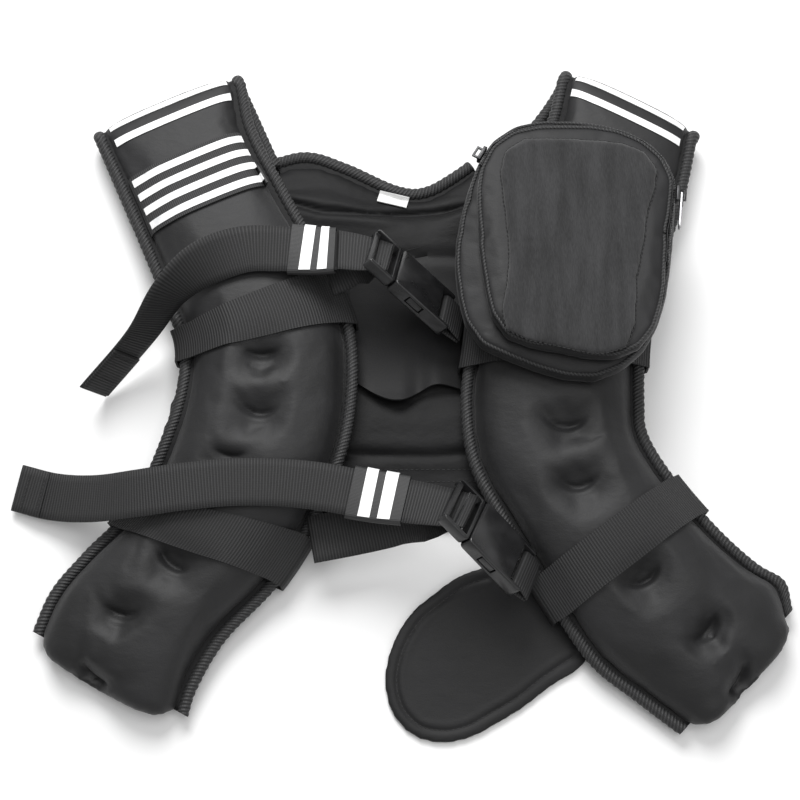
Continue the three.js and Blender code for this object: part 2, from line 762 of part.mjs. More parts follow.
// The place along the rings that lies a distance down from the start of the fold
function placeFromFold(panel, distance) {
  if (distance < 0) {
    const step = ((shoulderGap / 2 + shoulderThickness) * Math.PI) / foldSteps;
    return flatSteps - distance / step;
  }
  const [a, b] = [panel.stations[flatSteps - 1].middle, panel.stations[flatSteps].middle];
  return flatSteps - distance / a.distanceTo(b);
}

// Reflective stripes at the shoulders, one just below each fold and one over it
for (const [name, panel] of Object.entries(panels)) {
  const stripes = { shoulder_stripe: shoulderStripeFromFold, fold_stripe: foldStripeFromFold };
  for (const [label, start] of Object.entries(stripes)) {
    const low = placeFromFold(panel, start + stripeWidth);
    const high = placeFromFold(panel, start);
    const sheet = panelSheet(panel, low, high, 0.9, touch, stripeThickness);
    addPiece(`${name}_${label}`, sheet, "reflective");
  }
}

// Elastic band with four stripes across the right shoulder
const elasticTop = placeFromFold(panels.right, elasticFromFold - elasticWidth);
const elasticLow = placeFromFold(panels.right, elasticFromFold);
const elasticBand = panelSheet(panels.right, elasticLow, elasticTop, 0.99, touch, elasticThickness, 3);
addPiece("elastic_band", elasticBand, "webbing");
for (let i = 0; i < stripeCount; i++) {
  const pitch = elasticWidth / stripeCount;
  const low = elasticFromFold - (i + 0.5) * pitch - stripeWidth / 2;
  const from = placeFromFold(panels.right, low + stripeWidth);
  const to = placeFromFold(panels.right, low);
  const raise = elasticThickness + 2 * touch;
  const sheet = panelSheet(panels.right, from, to, 0.94, raise, stripeThickness);
  addPiece(`elastic_stripe_${i + 1}`, sheet, "reflective");
}

// Outer outline of a panel's cross-section with its bindings, as heights over places across it
function upperHull(points) {
  const kept = [];
  for (const point of points) {
    while (kept.length > 1) {
      const [a, b] = kept.slice(-2);
      const turn = (b.x - a.x) * (point.y - a.y) - (b.y - a.y) * (point.x - a.x);
      if (turn < 0) break;
      kept.pop();
    }
    kept.push(point);
  }
  return kept;
}
function heightOn(line, x) {
  const next = Math.max(1, line.findIndex((point) => point.x >= x));
  const [a, b] = [line[next - 1], line[next]];
  return a.y + ((b.y - a.y) * (x - a.x)) / (b.x - a.x);
}

// A closed webbing band round a panel and its bindings, taut over the dents
function panelBand(panel, place, width) {
  const halfSpan = width / 2 / stationStep(panel);
  const centre = place.at * flatSteps;
  const edges = [-1, 1].map((edge) => bandEdge(panel, centre, place.slant, edge * halfSpan));
  const rings = edges[0].inner.map((_, i) => [
    edges[0].inner[i],
    edges[1].inner[i],
    edges[1].outer[i],
    edges[0].outer[i],
  ]);
  return loft(rings, "loop");
}
const bandProbes = [1, 0.5, 0, -0.5, -1];
function stationStep(panel) {
  return panel.stations[12].middle.distanceTo(panel.stations[13].middle);
}
function bandEdge(panel, centre, slant, offset) {
  const placeAt = (share) => centre + slant * share + offset;
  const middle = panel.stations[Math.round(centre)];
  const half = middle.half;
  const rim = 1 + (touch + bindingWidth + drape) / half;
  const shares = [-rim, ...topPlaces, rim];
  const beyond = (share) => {
    const inside = THREE.MathUtils.clamp(share, -1, 1);
    const across = panel.stations[Math.round(placeAt(inside))].across;
    return onPanel(panel, placeAt(inside), inside).addScaledVector(across, (share - inside) * half);
  };
  const surface = shares.map(beyond);
  const pieces = [panel.body, ...panel.bindings];
  const heights = surface.map((point, i) => {
    const share = THREE.MathUtils.clamp(shares[i], -1, 1);
    const crest = bandProbes.map((part) => {
      const under = onPanel(panel, placeAt(share) + offset * (part - 1), share);
      under.addScaledVector(middle.across, (shares[i] - share) * half);
      return Math.max(under.z, topAt(pieces, under.x, under.y));
    });
    const [near, far] = [crest[0], crest.at(-1)];
    const extra = crest.map((height, j) => height - near - ((far - near) * j) / (crest.length - 1));
    return new THREE.Vector2(shares[i] * half, near + Math.max(...extra) + drape);
  });
  heights[0].y = heights[1].y + drape;
  heights.at(-1).y = heights.at(-2).y + drape;
  const hull = upperHull(heights);
  surface.forEach((point, i) => (point.z = heightOn(hull, heights[i].x)));
  const base = Math.min(...[-0.8, 0, 0.8].map((share) => underAt(panel, placeAt(share))));
  const floorLine = Math.max(base - drape, webbingThickness);
  const under = [rim, 0.8, 0, -0.8, -rim].map((share) => beyond(share).setZ(floorLine));
  const inner = [...surface, ...under];
  const outer = inner.map((point, i) => {
    const before = inner[(i + inner.length - 1) % inner.length];
    const after = inner[(i + 1) % inner.length];
    const run = after.clone().sub(before);
    const flatRun = new THREE.Vector2(run.dot(middle.across), run.z).normalize();
    return point
      .clone()
      .addScaledVector(middle.across, -flatRun.y * webbingThickness)
      .addScaledVector(upward, flatRun.x * webbingThickness);
  });
  outer.forEach((point) => (point.z = Math.max(point.z, 0)));
  return { inner, outer };
}
function underAt(panel, place) {
  const lower = Math.min(Math.max(Math.floor(place), 0), flatSteps - 1);
  const middle = topPlaces.length + 2;
  const [a, b] = [panel.rings[lower][middle], panel.rings[lower + 1][middle]];
  return a.z + (b.z - a.z) * (place - lower);
}

const bands = {
  right_chest_band: panelBand(panels.right, chestBandRight, webbingWidth),
  right_waist_band: panelBand(panels.right, waistBandRight, webbingWidth),
  left_chest_band: panelBand(panels.left, chestBandLeft, webbingWidth),
  left_waist_band: panelBand(panels.left, waistBandLeft, webbingWidth),
};
const bandPieces = Object.entries(bands).map(([name, shape]) => addPiece(name, shape, "webbing"));

// Binding along the neck of the back panel
const edgeLengths = topEdge.curves.map((curve) => curve.getLength());
const edgeTotal = topEdge.getLength();
const neckFrom = edgeLengths[0] / edgeTotal;
const neckTo = 1 - edgeLengths.at(-1) / edgeTotal;
const neckStations = spaced(0, 1, backAcross)
  .filter((place) => place > neckFrom + 0.02 && place < neckTo - 0.02)
  .map((place) => backPoint(place, 1));
const neckRings = neckStations.map((point, i) => {
  const before = neckStations[Math.max(i - 1, 0)];
  const after = neckStations[Math.min(i + 1, neckStations.length - 1)];
  const outward = new THREE.Vector3().crossVectors(upward, after.clone().sub(before)).normalize();
  const centre = point.clone().addScaledVector(outward, touch + bindingWidth / 2);
  return roundRing(centre.setZ(bindingThickness / 2), outward, upward, bindingWidth, bindingThickness);
});
addPiece("neck_binding", loft(neckRings), "binding");

// Inner flap, a loose sheet on the back panel with a ruffled hem
const innerFlapAt = curves(innerFlapRows);
const innerFlapRings = spaced(0, 1, 12).map((place) => {
  const row = innerFlapAt(place);
  const line = (height) => spaced(0, 1, 5).map((down) => {
    const along = row.top + (row.along - row.top) * down;
    const point = planPoint({ side: row.side, along });
    const lifted = row.rise * backThickness * down ** 3;
    return point.setZ(topAt([backPanel], point.x, point.y) + 2 * touch + lifted + height);
  });
  return [...line(0), ...line(innerFlapThickness).reverse()];
});
const innerFlap = addPiece("inner_flap", loft(innerFlapRings), "lining");

// Label near the neck
const labelCorners = [[-1, -1], [1, -1], [1, 1], [-1, 1]].map(([a, b]) => {
  const centre = planPoint(labelPlace);
  centre.addScaledVector(direction(labelPlace.turn), (a * labelPlace.width * halfWidth) / 2);
  return centre.addScaledVector(direction(labelPlace.turn + 90), (b * labelPlace.length * halfWidth) / 2);
});
const labelRing = (height) => labelCorners.map((point) =>
  point.clone().setZ(topAt([backPanel], point.x, point.y) + drape + height));
addPiece("label", loft([labelRing(0), labelRing(labelThickness)]), "label");

// Straps: a station of webbing has a middle, a direction across and a normal
function strapStations(rows, steps) {
  const at = curves(rows);
  const points = spaced(0, 1, steps).map((place) => {
    const row = at(place);
    return { middle: planPoint(row, row.height * halfLength), roll: row.roll };
  });
  return points.map(({ middle, roll }, i) => {
    const before = points[Math.max(i - 1, 0)].middle;
    const after = points[Math.min(i + 1, steps)].middle;
    const forward = after.clone().sub(before).normalize();
    const across = new THREE.Vector3().crossVectors(upward, forward).normalize();
    across.applyAxisAngle(forward, THREE.MathUtils.degToRad(roll));
    return { middle, across, up: new THREE.Vector3().crossVectors(forward, across) };
  });
}
function ribbonRing({ middle, across, up }, width, from, to) {
  return [[-0.5, from], [0.5, from], [0.5, to], [-0.5, to]].map(([side, height]) =>
    middle.clone().addScaledVector(across, side * width).addScaledVector(up, height));
}
function ribbon(stations) {
  const half = webbingThickness / 2;
  return loft(stations.map((station) => ribbonRing(station, webbingWidth, -half, half)));
}

// Buckle halves about their own frame: x from the frame's outer bar to the socket's end, z off the face
function buckleFrame() {
  const outline = roundedBox(0, frameLength, buckleWidth, railDepth);
  const gap = buckleWidth / 2 - railWidth;
  const cuts = [
    block([-1, -gap, barDepth / 2], [frameLength - 3, gap, railDepth]),
    block([-1, -gap, -railDepth], [frameLength - 3, gap, -barDepth / 2]),
    block([endBarWidth, -gap, -railDepth], [midBarFrom, gap, railDepth]),
    block([midBarFrom + midBarWidth, -gap, -railDepth], [frameLength - 3, gap, railDepth]),
  ];
  const armMiddle = buckleWidth / 2 - 4.5;
  const arms = [-1, 1].flatMap((side) => {
    const inner = side * (armMiddle - armWidth / 2);
    const outer = side * (armMiddle + armWidth / 2);
    const head = side * (buckleWidth / 2 - 0.4);
    const span = (a, b) => [Math.min(a, b), Math.max(a, b)];
    const [a0, a1] = span(inner, outer);
    const [b0, b1] = span(inner, head);
    const half = armThickness / 2;
    return [
      block([frameLength - 2, a0, -half], [frameLength + armLength, a1, half]),
      block([windowFrom + 1, b0, -half], [windowFrom + windowLength - 1, b1, half]),
    ];
  });
  const rib = block([frameLength - 2, -armWidth / 2, -barDepth / 2], [frameLength + armLength, armWidth / 2, barDepth / 2]);
  const whole = [...arms, rib].reduce((made, piece) => made.add(solid(piece)), solid(outline));
  return fromSolid(cuts.reduce((made, piece) => made.subtract(solid(piece)), whole));
}
function buckleSocket() {
  const from = frameLength + touch;
  const outline = roundedBox(from, buckleLength, buckleWidth, buckleThickness);
  const gap = buckleWidth / 2 - railWidth;
  const inside = buckleWidth / 2 - 2.5 + socketClearance;
  const depth = armThickness / 2 + socketClearance;
  const bar = buckleLength - endBarWidth;
  const slot = bar - 7;
  const cuts = [
    block([from - 1, -inside, -depth], [frameLength + armLength + socketClearance, inside, depth]),
    block([windowFrom, -buckleWidth, -depth], [windowFrom + windowLength, buckleWidth, depth]),
    block([slot, -gap, -buckleThickness], [bar, gap, buckleThickness]),
    block([bar - 1, -gap, barDepth / 2], [buckleLength + 1, gap, buckleThickness]),
    block([bar - 1, -gap, -buckleThickness], [buckleLength + 1, gap, -barDepth / 2]),
  ];
  return fromSolid(cuts.reduce((made, piece) => made.subtract(solid(piece)), solid(outline)));
}
function roundedBox(from, to, width, depth) {
  const shape = new THREE.Shape();
  const [half, r] = [width / 2, cornerRadius];
  shape.moveTo(from + r, -half);
  shape.lineTo(to - r, -half);
  shape.quadraticCurveTo(to, -half, to, -half + r);
  shape.lineTo(to, half - r);
  shape.quadraticCurveTo(to, half, to - r, half);
  shape.lineTo(from + r, half);
  shape.quadraticCurveTo(from, half, from, half - r);
  shape.lineTo(from, -half + r);
  shape.quadraticCurveTo(from, -half, from + r, -half);
  const bevel = 1;
  const options = { depth: depth - 2 * bevel, bevelSize: bevel, bevelThickness: bevel, bevelOffset: -bevel, bevelSegments: 2, curveSegments: 3 };
  return new THREE.ExtrudeGeometry(shape, options).translate(0, 0, bevel - depth / 2);
}

// Places both halves of a buckle and gives stations of webbing in the buckle's own frame
function placeBuckle(name, place) {
  const group = new THREE.Group();
  group.position.copy(planPoint(place, place.height * halfLength));
  const turn = [place.roll, place.dip, place.turn].map((angle) => THREE.MathUtils.degToRad(angle));
  group.rotation.set(...turn, "ZYX");
  vest.add(group);
  group.updateWorldMatrix(true, false);
  addPiece(`${name}_buckle_frame`, buckleFrame(), "plastic", group);
  addPiece(`${name}_buckle_socket`, buckleSocket(), "plastic", group);
  return (rows) => rows.map(([x, z, lean]) => {
    const angle = THREE.MathUtils.degToRad(lean);
    const axes = [[0, 1, 0], [-Math.sin(angle), 0, Math.cos(angle)]];
    const [across, up] = axes.map((axis) => new THREE.Vector3(...axis).applyEuler(group.rotation));
    return { middle: group.localToWorld(new THREE.Vector3(x, 0, z)), across, up };
  });
}
const chest = placeBuckle("chest", chestBuckle);
const waist = placeBuckle("waist", waistBuckle);

// A turn of webbing round a bar: runs in over the face, round the bar's far side and out below
const turnRadius = barDepth / 2 + touch + webbingThickness / 2;
function barTurn(far, out, inward) {
  const tip = far + inward * (touch + webbingThickness / 2 + barRounding);
  const start = tip - inward * turnRadius;
  const steps = spaced(90, -90, 4);
  const arc = steps.map((angle) => {
    const radians = THREE.MathUtils.degToRad(angle);
    const lean = inward > 0 ? angle - 90 : 90 - angle;
    return [start + inward * turnRadius * Math.cos(radians), turnRadius * Math.sin(radians), lean];
  });
  return [[out, turnRadius, 0], ...arc, [out, -turnRadius, inward > 0 ? -180 : 180]];
}
const frameTurn = barTurn(midBarFrom + midBarWidth, -4, 1);
function standing(rows) {
  return strapStations(rows, 5).map(({ middle, across, up }) => ({
    middle,
    across: across.negate(),
    up: up.negate(),
  }));
}
const chestTail = strapStations(chestTailRows, chestTailSteps);
const waistTail = strapStations(waistTailRows, waistTailSteps);
const chestStrap = [...chestTail, ...chest(frameTurn), ...standing(chestStandRows)];
const waistStrap = [...waistTail, ...waist(frameTurn), ...standing(waistStandRows)];
addPiece("chest_strap", ribbon(chestStrap), "webbing");
addPiece("waist_strap", ribbon(waistStrap), "webbing");

// Load straps: a turn of webbing round the socket's end bar, its two layers closed at the panel
const socketBar = buckleLength - endBarWidth;
const loadTurn = barTurn(socketBar, buckleLength + 1.5, -1);
const layerShift = webbingThickness / 2 + loopGap;
function loadRows(length) {
  const end = buckleLength + length;
  return [[end, layerShift, 0], ...loadTurn, [end, -layerShift, 180]];
}
addPiece("chest_load_strap", ribbon(chest(loadRows(chestLoadLength))), "webbing");
addPiece("waist_load_strap", ribbon(waist(loadRows(waistLoadLength))), "webbing");

// Keeper sleeves round the straps, each with two reflective bars
function sleeve(stations) {
  const [inside, outside] = [sleeveGap, sleeveGap + sleeveWall];
  const corners = [[-1, -1], [1, -1], [1, 1], [-1, 1]];
  const line = (side, face, gap) => stations.map(({ middle, across, up }) =>
    middle
      .clone()
      .addScaledVector(across, side * (webbingWidth / 2 + gap))
      .addScaledVector(up, face * (webbingThickness / 2 + gap)));
  const rings = corners.map(([side, face]) =>
    [...line(side, face, inside), ...line(side, face, outside).reverse()]);
  return loft(rings, "loop");
}
function sleeveBar(stations) {
  const inside = sleeveGap + sleeveWall + touch;
  const outside = inside + barThickness;
  const rings = stations.map(({ middle, across, up }) => {
    const corner = (side, height) => middle.clone().addScaledVector(across, side).addScaledVector(up, height);
    const half = webbingWidth / 2;
    const top = webbingThickness / 2;
    return [
      corner(-half - touch, top + inside),
      corner(half + inside, top + inside),
      corner(half + inside, -top),
      corner(half + outside, -top),
      corner(half + outside, top + outside),
      corner(-half - touch, top + outside),
    ];
  });
  return loft(rings);
}

// A station at any place along a list of them, and a run of stations with its ends in between
function stationAt(stations, place) {
  const lower = Math.min(Math.floor(place), stations.length - 2);
  const [a, b] = [stations[lower], stations[lower + 1]];
  const mix = (name) => a[name].clone().lerp(b[name], place - lower);
  return { middle: mix("middle"), across: mix("across").normalize(), up: mix("up").normalize() };
}
function between(stations, from, to) {
  const inner = spaced(0, stations.length - 1, stations.length - 1).filter((i) => i > from && i < to);
  return [from, ...inner, to].map((place) => stationAt(stations, place));
}
function sleeveSet(name, stations, from) {
  const step = stations[from].middle.distanceTo(stations[from + 1].middle);
  const length = sleeveLength / step;
  addPiece(`${name}_sleeve`, sleeve(between(stations, from, from + length)), "sleeve");
  barPlaces.forEach((place, i) => {
    const centre = from + place * length;
    const half = barWidth / 2 / step;
    const bar = sleeveBar(between(stations, centre - half, centre + half));
    addPiece(`${name}_sleeve_bar_${i + 1}`, bar, "reflective");
  });
}
sleeveSet("chest", chestTail, chestSleeveFrom);
sleeveSet("waist", waistTail, waistSleeveFrom);

// Pouch, tilted to rest on the panel and its chest band
const pouch = new THREE.Group();
const pouchCentre = planPoint(pouchPlace);
const slope = Math.tan(THREE.MathUtils.degToRad(pouchTilt));
function outlineLine(rows) {
  const points = rows.map((row) =>
    new THREE.Vector3((row.side * pouchWidth) / 2, (row.along * pouchLength) / 2, 0));
  return new THREE.CatmullRomCurve3(points, true, "centripetal");
}
const under = [panels.left.body, ...panels.left.bindings, ...bandPieces, backPanel];
const probes = spaced(-0.9, 0.9, 12).flatMap((a) => spaced(-0.95, 0.95, 14).map((b) => [a, b]));
const heights = probes.map(([a, b]) => {
  const x = pouchCentre.x + (a * pouchWidth) / 2;
  const run = (b * pouchLength) / 2;
  return topAt(under, x, pouchCentre.y + run) - run * slope;
});
pouch.position.copy(pouchCentre).setZ(Math.max(...heights) + touch);
pouch.rotation.x = THREE.MathUtils.degToRad(pouchTilt);
vest.add(pouch);
pouch.updateWorldMatrix(true, true);

// A layer of the pouch: an outline raised through a few rings
function pouchLayer(outline, from, depth, rows) {
  const line = outlineLine(outline).getSpacedPoints(outlinePoints).slice(0, outlinePoints);
  const rings = rows.map(({ rise, spread }) =>
    line.map((point) => point.clone().multiplyScalar(spread).setZ(from + rise * depth)));
  return loft(rings, "fan");
}
const frontFrom = rearDepth + touch;
const faceFrom = frontFrom + frontDepth + touch;
addPiece("pouch_rear", pouchLayer(rearOutline, 0, rearDepth, compartmentRows), "neoprene", pouch);
addPiece("pouch_front", pouchLayer(frontOutline, frontFrom, frontDepth, compartmentRows), "neoprene", pouch);
addPiece("pouch_face", pouchLayer(faceOutline, faceFrom, faceDepth, faceRows), "brushed", pouch);

// Zip round the front compartment: rings that stand off its wall
const frontLine = outlineLine(frontOutline).getSpacedPoints(outlinePoints);
const zipMiddle = frontFrom + frontDepth * 0.5;
// The outline's point at a place, its run towards the next point and the direction off the wall
function wallPlace(line, place) {
  const lower = Math.floor(place);
  const point = line[lower].clone().lerp(line[lower + 1], place - lower);
  const before = place === lower ? line[lower - 1] : line[lower];
  const along = line[lower + 1].clone().sub(before).normalize();
  return { point, along, outward: new THREE.Vector3().crossVectors(upward, along) };
}
const zipPlaces = spaced(zipRun.from, zipRun.to, zipRun.to - zipRun.from);
const zipRings = zipPlaces.map((place) => {
  const { point, outward } = wallPlace(frontLine, place);
  const ring = [[touch, -1], [touch + zipThickness, -1], [touch + zipThickness, 1], [touch, 1]];
  return ring.map(([out, side]) =>
    point.clone().addScaledVector(outward, out).setZ(zipMiddle + (side * zipWidth) / 2));
});
addPiece("zip_track", loft(zipRings), "webbing", pouch);

// Sliders, about their own frames: x along the track, y across it, z off the wall
function sliderFrame(line, place, height) {
  const group = new THREE.Group();
  const { point, along, outward } = wallPlace(line, place);
  const across = new THREE.Vector3().crossVectors(outward, along);
  group.quaternion.setFromRotationMatrix(new THREE.Matrix4().makeBasis(along, across, outward));
  group.position.copy(point).setZ(height);
  pouch.add(group);
  return group;
}
function sliderBody(from) {
  const top = from + sliderThickness;
  const inner = bridgeLength / 2 - bridgeWire;
  const pieces = [
    block([-sliderLength / 2, -sliderWidth / 2, from], [sliderLength / 2, sliderWidth / 2, top]),
    block([-bridgeLength / 2, -bridgeWire / 2, top - 0.5], [-inner, bridgeWire / 2, top + bridgeHeight]),
    block([inner, -bridgeWire / 2, top - 0.5], [bridgeLength / 2, bridgeWire / 2, top + bridgeHeight]),
    block(
      [-bridgeLength / 2, -bridgeWire / 2, top + bridgeHeight - bridgeWire],
      [bridgeLength / 2, bridgeWire / 2, top + bridgeHeight],
    ),
  ];
  return fromSolid(pieces.map(solid).reduce((made, piece) => made.add(piece)));
}
const sliderFrom = touch + zipThickness + touch;
const frontSlider = sliderFrame(frontLine, frontSliderAt, zipMiddle);
addPiece("zip_slider", sliderBody(sliderFrom), "metal", frontSlider);
const rearLine = outlineLine(rearOutline).getSpacedPoints(outlinePoints);
const rearSlider = sliderFrame(rearLine, rearSliderAt, rearDepth / 2);
addPiece("rear_zip_slider", sliderBody(touch), "metal", rearSlider);

// Puller: its end bar lies under the bridge, and its window lets the bridge through
const pullerShape = new THREE.Shape();
const [pullerHalf, pullerEnd] = [pullerWidth / 2, pullerLength - pullerWidth / 2];
pullerShape.moveTo(-eyeBar / 2, -pullerHalf);
pullerShape.lineTo(pullerEnd, -pullerHalf);
pullerShape.absarc(pullerEnd, 0, pullerHalf, -Math.PI / 2, Math.PI / 2, false);
pullerShape.lineTo(-eyeBar / 2, pullerHalf);
const eye = new THREE.Path();
const eyeHalf = pullerHalf - pullerArm;
eye.moveTo(eyeBar / 2, -eyeHalf);
eye.lineTo(eyeBar / 2, eyeHalf);
eye.lineTo(eyeLength, eyeHalf);
eye.lineTo(eyeLength, -eyeHalf);
pullerShape.holes.push(eye);
const pullerOptions = { depth: pullerThickness, bevelEnabled: false, curveSegments: 8 };
const pullerSolid = new THREE.ExtrudeGeometry(pullerShape, pullerOptions);
pullerSolid.translate(0, 0, -pullerThickness / 2);
const hinge = new THREE.Group();
hinge.position.z = sliderFrom + sliderThickness + touch + pullerThickness / 2;
frontSlider.add(hinge);
addPiece("zip_puller", pullerSolid, "metal", hinge);

export default vest;
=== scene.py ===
# %% [markdown]
# # A weighted vest, dressed over its frame
#
# The vest lies on its back. Two sand-filled panels fold over at the shoulders and splay out at the
# bottom. Webbing, buckles, reflective stripes and a zipped pouch sit on them. The frame gives every
# solid its true place; this lesson turns those solids into cloth, webbing, tape and plastic.

import bisect
import json
import math

import bpy
import numpy as np
from mathutils import Matrix, Vector
from mathutils.bvhtree import BVHTree

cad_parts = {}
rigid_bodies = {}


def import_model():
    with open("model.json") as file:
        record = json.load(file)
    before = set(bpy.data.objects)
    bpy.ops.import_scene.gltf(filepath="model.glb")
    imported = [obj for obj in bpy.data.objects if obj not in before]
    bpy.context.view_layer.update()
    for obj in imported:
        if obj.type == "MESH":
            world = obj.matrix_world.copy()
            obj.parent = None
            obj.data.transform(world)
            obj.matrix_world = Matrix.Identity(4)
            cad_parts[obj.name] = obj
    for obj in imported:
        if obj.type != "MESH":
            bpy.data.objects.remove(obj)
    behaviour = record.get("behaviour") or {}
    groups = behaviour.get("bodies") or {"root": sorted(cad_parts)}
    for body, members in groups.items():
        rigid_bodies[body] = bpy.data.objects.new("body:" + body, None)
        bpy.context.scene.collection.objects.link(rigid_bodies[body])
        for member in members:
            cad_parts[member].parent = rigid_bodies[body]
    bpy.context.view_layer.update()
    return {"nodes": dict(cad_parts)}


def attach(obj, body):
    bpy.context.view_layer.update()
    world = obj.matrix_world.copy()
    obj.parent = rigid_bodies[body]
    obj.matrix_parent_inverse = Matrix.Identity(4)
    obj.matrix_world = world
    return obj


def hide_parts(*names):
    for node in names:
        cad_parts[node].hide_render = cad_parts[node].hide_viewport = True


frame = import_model()
nodes = frame["nodes"]
VEST = "vest"
PULLER = "zip_puller"
MM = 0.001
UP = Vector((0, 0, 1))
print("frame:", len(nodes), "solids")

# %% [markdown]
# ## From points and solids to pieces
# A new piece is either a mesh from points or a merged copy of a solid from the frame. Modifiers are
# always applied, so that each piece is a plain mesh in the end. `finish_piece` gives it a material
# and the body that it moves with, and hides the solid that it stands for.


# %% Pieces
def focus(obj):
    """Makes one object the selected and active one, for the operators."""
    bpy.ops.object.select_all(action="DESELECT")
    obj.select_set(True)
    bpy.context.view_layer.objects.active = obj


def apply_modifiers(obj):
    focus(obj)
    for modifier in list(obj.modifiers):
        bpy.ops.object.modifier_apply(modifier=modifier.name)


def new_piece(name, points, faces, uvs=None):
    """A mesh object at the origin, from points in metres; uvs holds one pair for each face corner."""
    mesh = bpy.data.meshes.new(name)
    mesh.from_pydata([tuple(p) for p in points], [], faces)
    if uvs is not None:
        layer = mesh.uv_layers.new(name="cloth")
        layer.data.foreach_set("uv", np.array(uvs, dtype=np.float32).ravel())
    mesh.validate()
    piece = bpy.data.objects.new(name, mesh)
    bpy.context.scene.collection.objects.link(piece)
    mesh.shade_smooth()
    return piece


def copy_solid(node, name):
    """A merged copy of a CAD solid, free of the frame."""
    piece = nodes[node].copy()
    piece.data = piece.data.copy()
    piece.name = name
    piece.parent = None
    for key in list(piece.keys()):
        del piece[key]
    bpy.context.scene.collection.objects.link(piece)
    piece.data.materials.clear()
    focus(piece)
    bpy.ops.object.mode_set(mode="EDIT")
    bpy.ops.mesh.select_all(action="SELECT")
    bpy.ops.mesh.remove_doubles(threshold=0.00001)
    bpy.ops.mesh.normals_make_consistent(inside=False)
    bpy.ops.object.mode_set(mode="OBJECT")
    return piece


def finish_piece(piece, material, slot, node=None, body=VEST):
    """Gives a piece its finish and its body, and hides the solid it stands for."""
    piece.data.materials.clear()
    piece.data.materials.append(material)
    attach(piece, body)
    if node:
        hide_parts(node)
    return piece


print("bodies:", VEST, "and", PULLER)

# %% [markdown]
# ## Shader maths
# Nodes are easiest to read as formulas. One small class wraps a socket, so that `1 - mask * 2` adds
# the Math nodes by itself, and one method adds any other node.


# %% A value in a shader
class Value:
    """A socket that can be added, multiplied and shaped like a number."""

    def __init__(self, tree, socket):
        self.tree, self.socket = tree, socket

    def _math(self, operation, other=None, swapped=False):
        node = self.tree.nodes.new("ShaderNodeMath")
        node.operation = operation
        pair = [other, self] if swapped else [self, other]
        for slot, item in zip(node.inputs, pair):
            if isinstance(item, Value):
                self.tree.links.new(item.socket, slot)
            elif item is not None:
                slot.default_value = item
        return Value(self.tree, node.outputs[0])

    def __add__(self, other):
        return self._math("ADD", other)

    __radd__ = __add__

    def __mul__(self, other):
        return self._math("MULTIPLY", other)

    def __rsub__(self, other):
        return self._math("SUBTRACT", other, swapped=True)

    def sin(self):
        return self._math("SINE")

    def clamp(self):
        return self._math("MINIMUM", 1.0)._math("MAXIMUM", 0.0)

    def smooth(self, low, high):
        node = self.tree.nodes.new("ShaderNodeMapRange")
        node.interpolation_type = "SMOOTHSTEP"
        self.tree.links.new(self.socket, node.inputs["Value"])
        node.inputs["From Min"].default_value = low
        node.inputs["From Max"].default_value = high
        return Value(self.tree, node.outputs["Result"])


# %% A finish
class Finish:
    """A procedural material with a Principled shader."""

    def __init__(self, name):
        self.material = bpy.data.materials.new(name)
        self.material.use_nodes = True
        self.tree = self.material.node_tree
        self.shader = self.tree.nodes["Principled BSDF"]

    def node(self, kind, settings=None, inputs=None, output=0):
        node = self.tree.nodes.new(kind)
        for key, value in (settings or {}).items():
            setattr(node, key, value)
        for key, value in (inputs or {}).items():
            if isinstance(value, Value):
                self.tree.links.new(value.socket, node.inputs[key])
            else:
                node.inputs[key].default_value = value
        return Value(self.tree, node.outputs[output])

    def place(self, scale):
        """Object coordinates in metres times scale."""
        where = self.node("ShaderNodeTexCoord", output="Object")
        return self.node("ShaderNodeMapping", inputs={"Vector": where, "Scale": scale})

    def uv(self):
        """Distance across and along a strip, in millimetres, as two values."""
        where = self.node("ShaderNodeUVMap", {"uv_map": "cloth"})
        across = self.node("ShaderNodeSeparateXYZ", inputs={0: where}, output="X")
        along = self.node("ShaderNodeSeparateXYZ", inputs={0: where}, output="Y")
        return across, along

    def noise(self, size, detail, scale=(1, 1, 1)):
        """Noise from 0 to 1 with lumps of about the given size in millimetres."""
        settings = {"Vector": self.place(scale), "Scale": 1000.0 / size, "Detail": detail}
        return self.node("ShaderNodeTexNoise", inputs=settings, output="Fac")

    def colour(self, dark, light, mask):
        """Base colour between two colours, mixed by a mask from 0 to 1."""
        node = self.tree.nodes.new("ShaderNodeMix")
        node.data_type = "RGBA"
        self.tree.links.new(mask.socket, node.inputs["Factor"])
        colours = [socket for socket in node.inputs if socket.type == "RGBA"]
        colours[0].default_value = (*dark, 1)
        colours[1].default_value = (*light, 1)
        out = [socket for socket in node.outputs if socket.type == "RGBA"][0]
        self.tree.links.new(out, self.shader.inputs["Base Color"])

    def bump(self, height, depth):
        """Height from 0 to 1 as relief of the given depth in millimetres."""
        inputs = {"Height": height, "Distance": depth * MM, "Strength": 1.0}
        self.feed("Normal", self.node("ShaderNodeBump", inputs=inputs, output="Normal"))

    def feed(self, name, value):
        """Lets a value that varies drive one of the shader's sockets."""
        self.tree.links.new(value.socket, self.shader.inputs[name])

    def fix(self, **values):
        """Sets sockets that are the same all over the surface."""
        for name, value in values.items():
            self.shader.inputs[name.replace("_", " ")].default_value = value


print("materials so far:", len(bpy.data.materials))


# %% [markdown]
# ## Finishes
# Everything on the vest is black or nearly so, and the finishes part by their grain. Neoprene is
# smooth with a fine knitted skin and soft creases. Webbing is ribbed across its run. Binding tape
# shows slanted ribs. The reflective tape is smooth and pale.

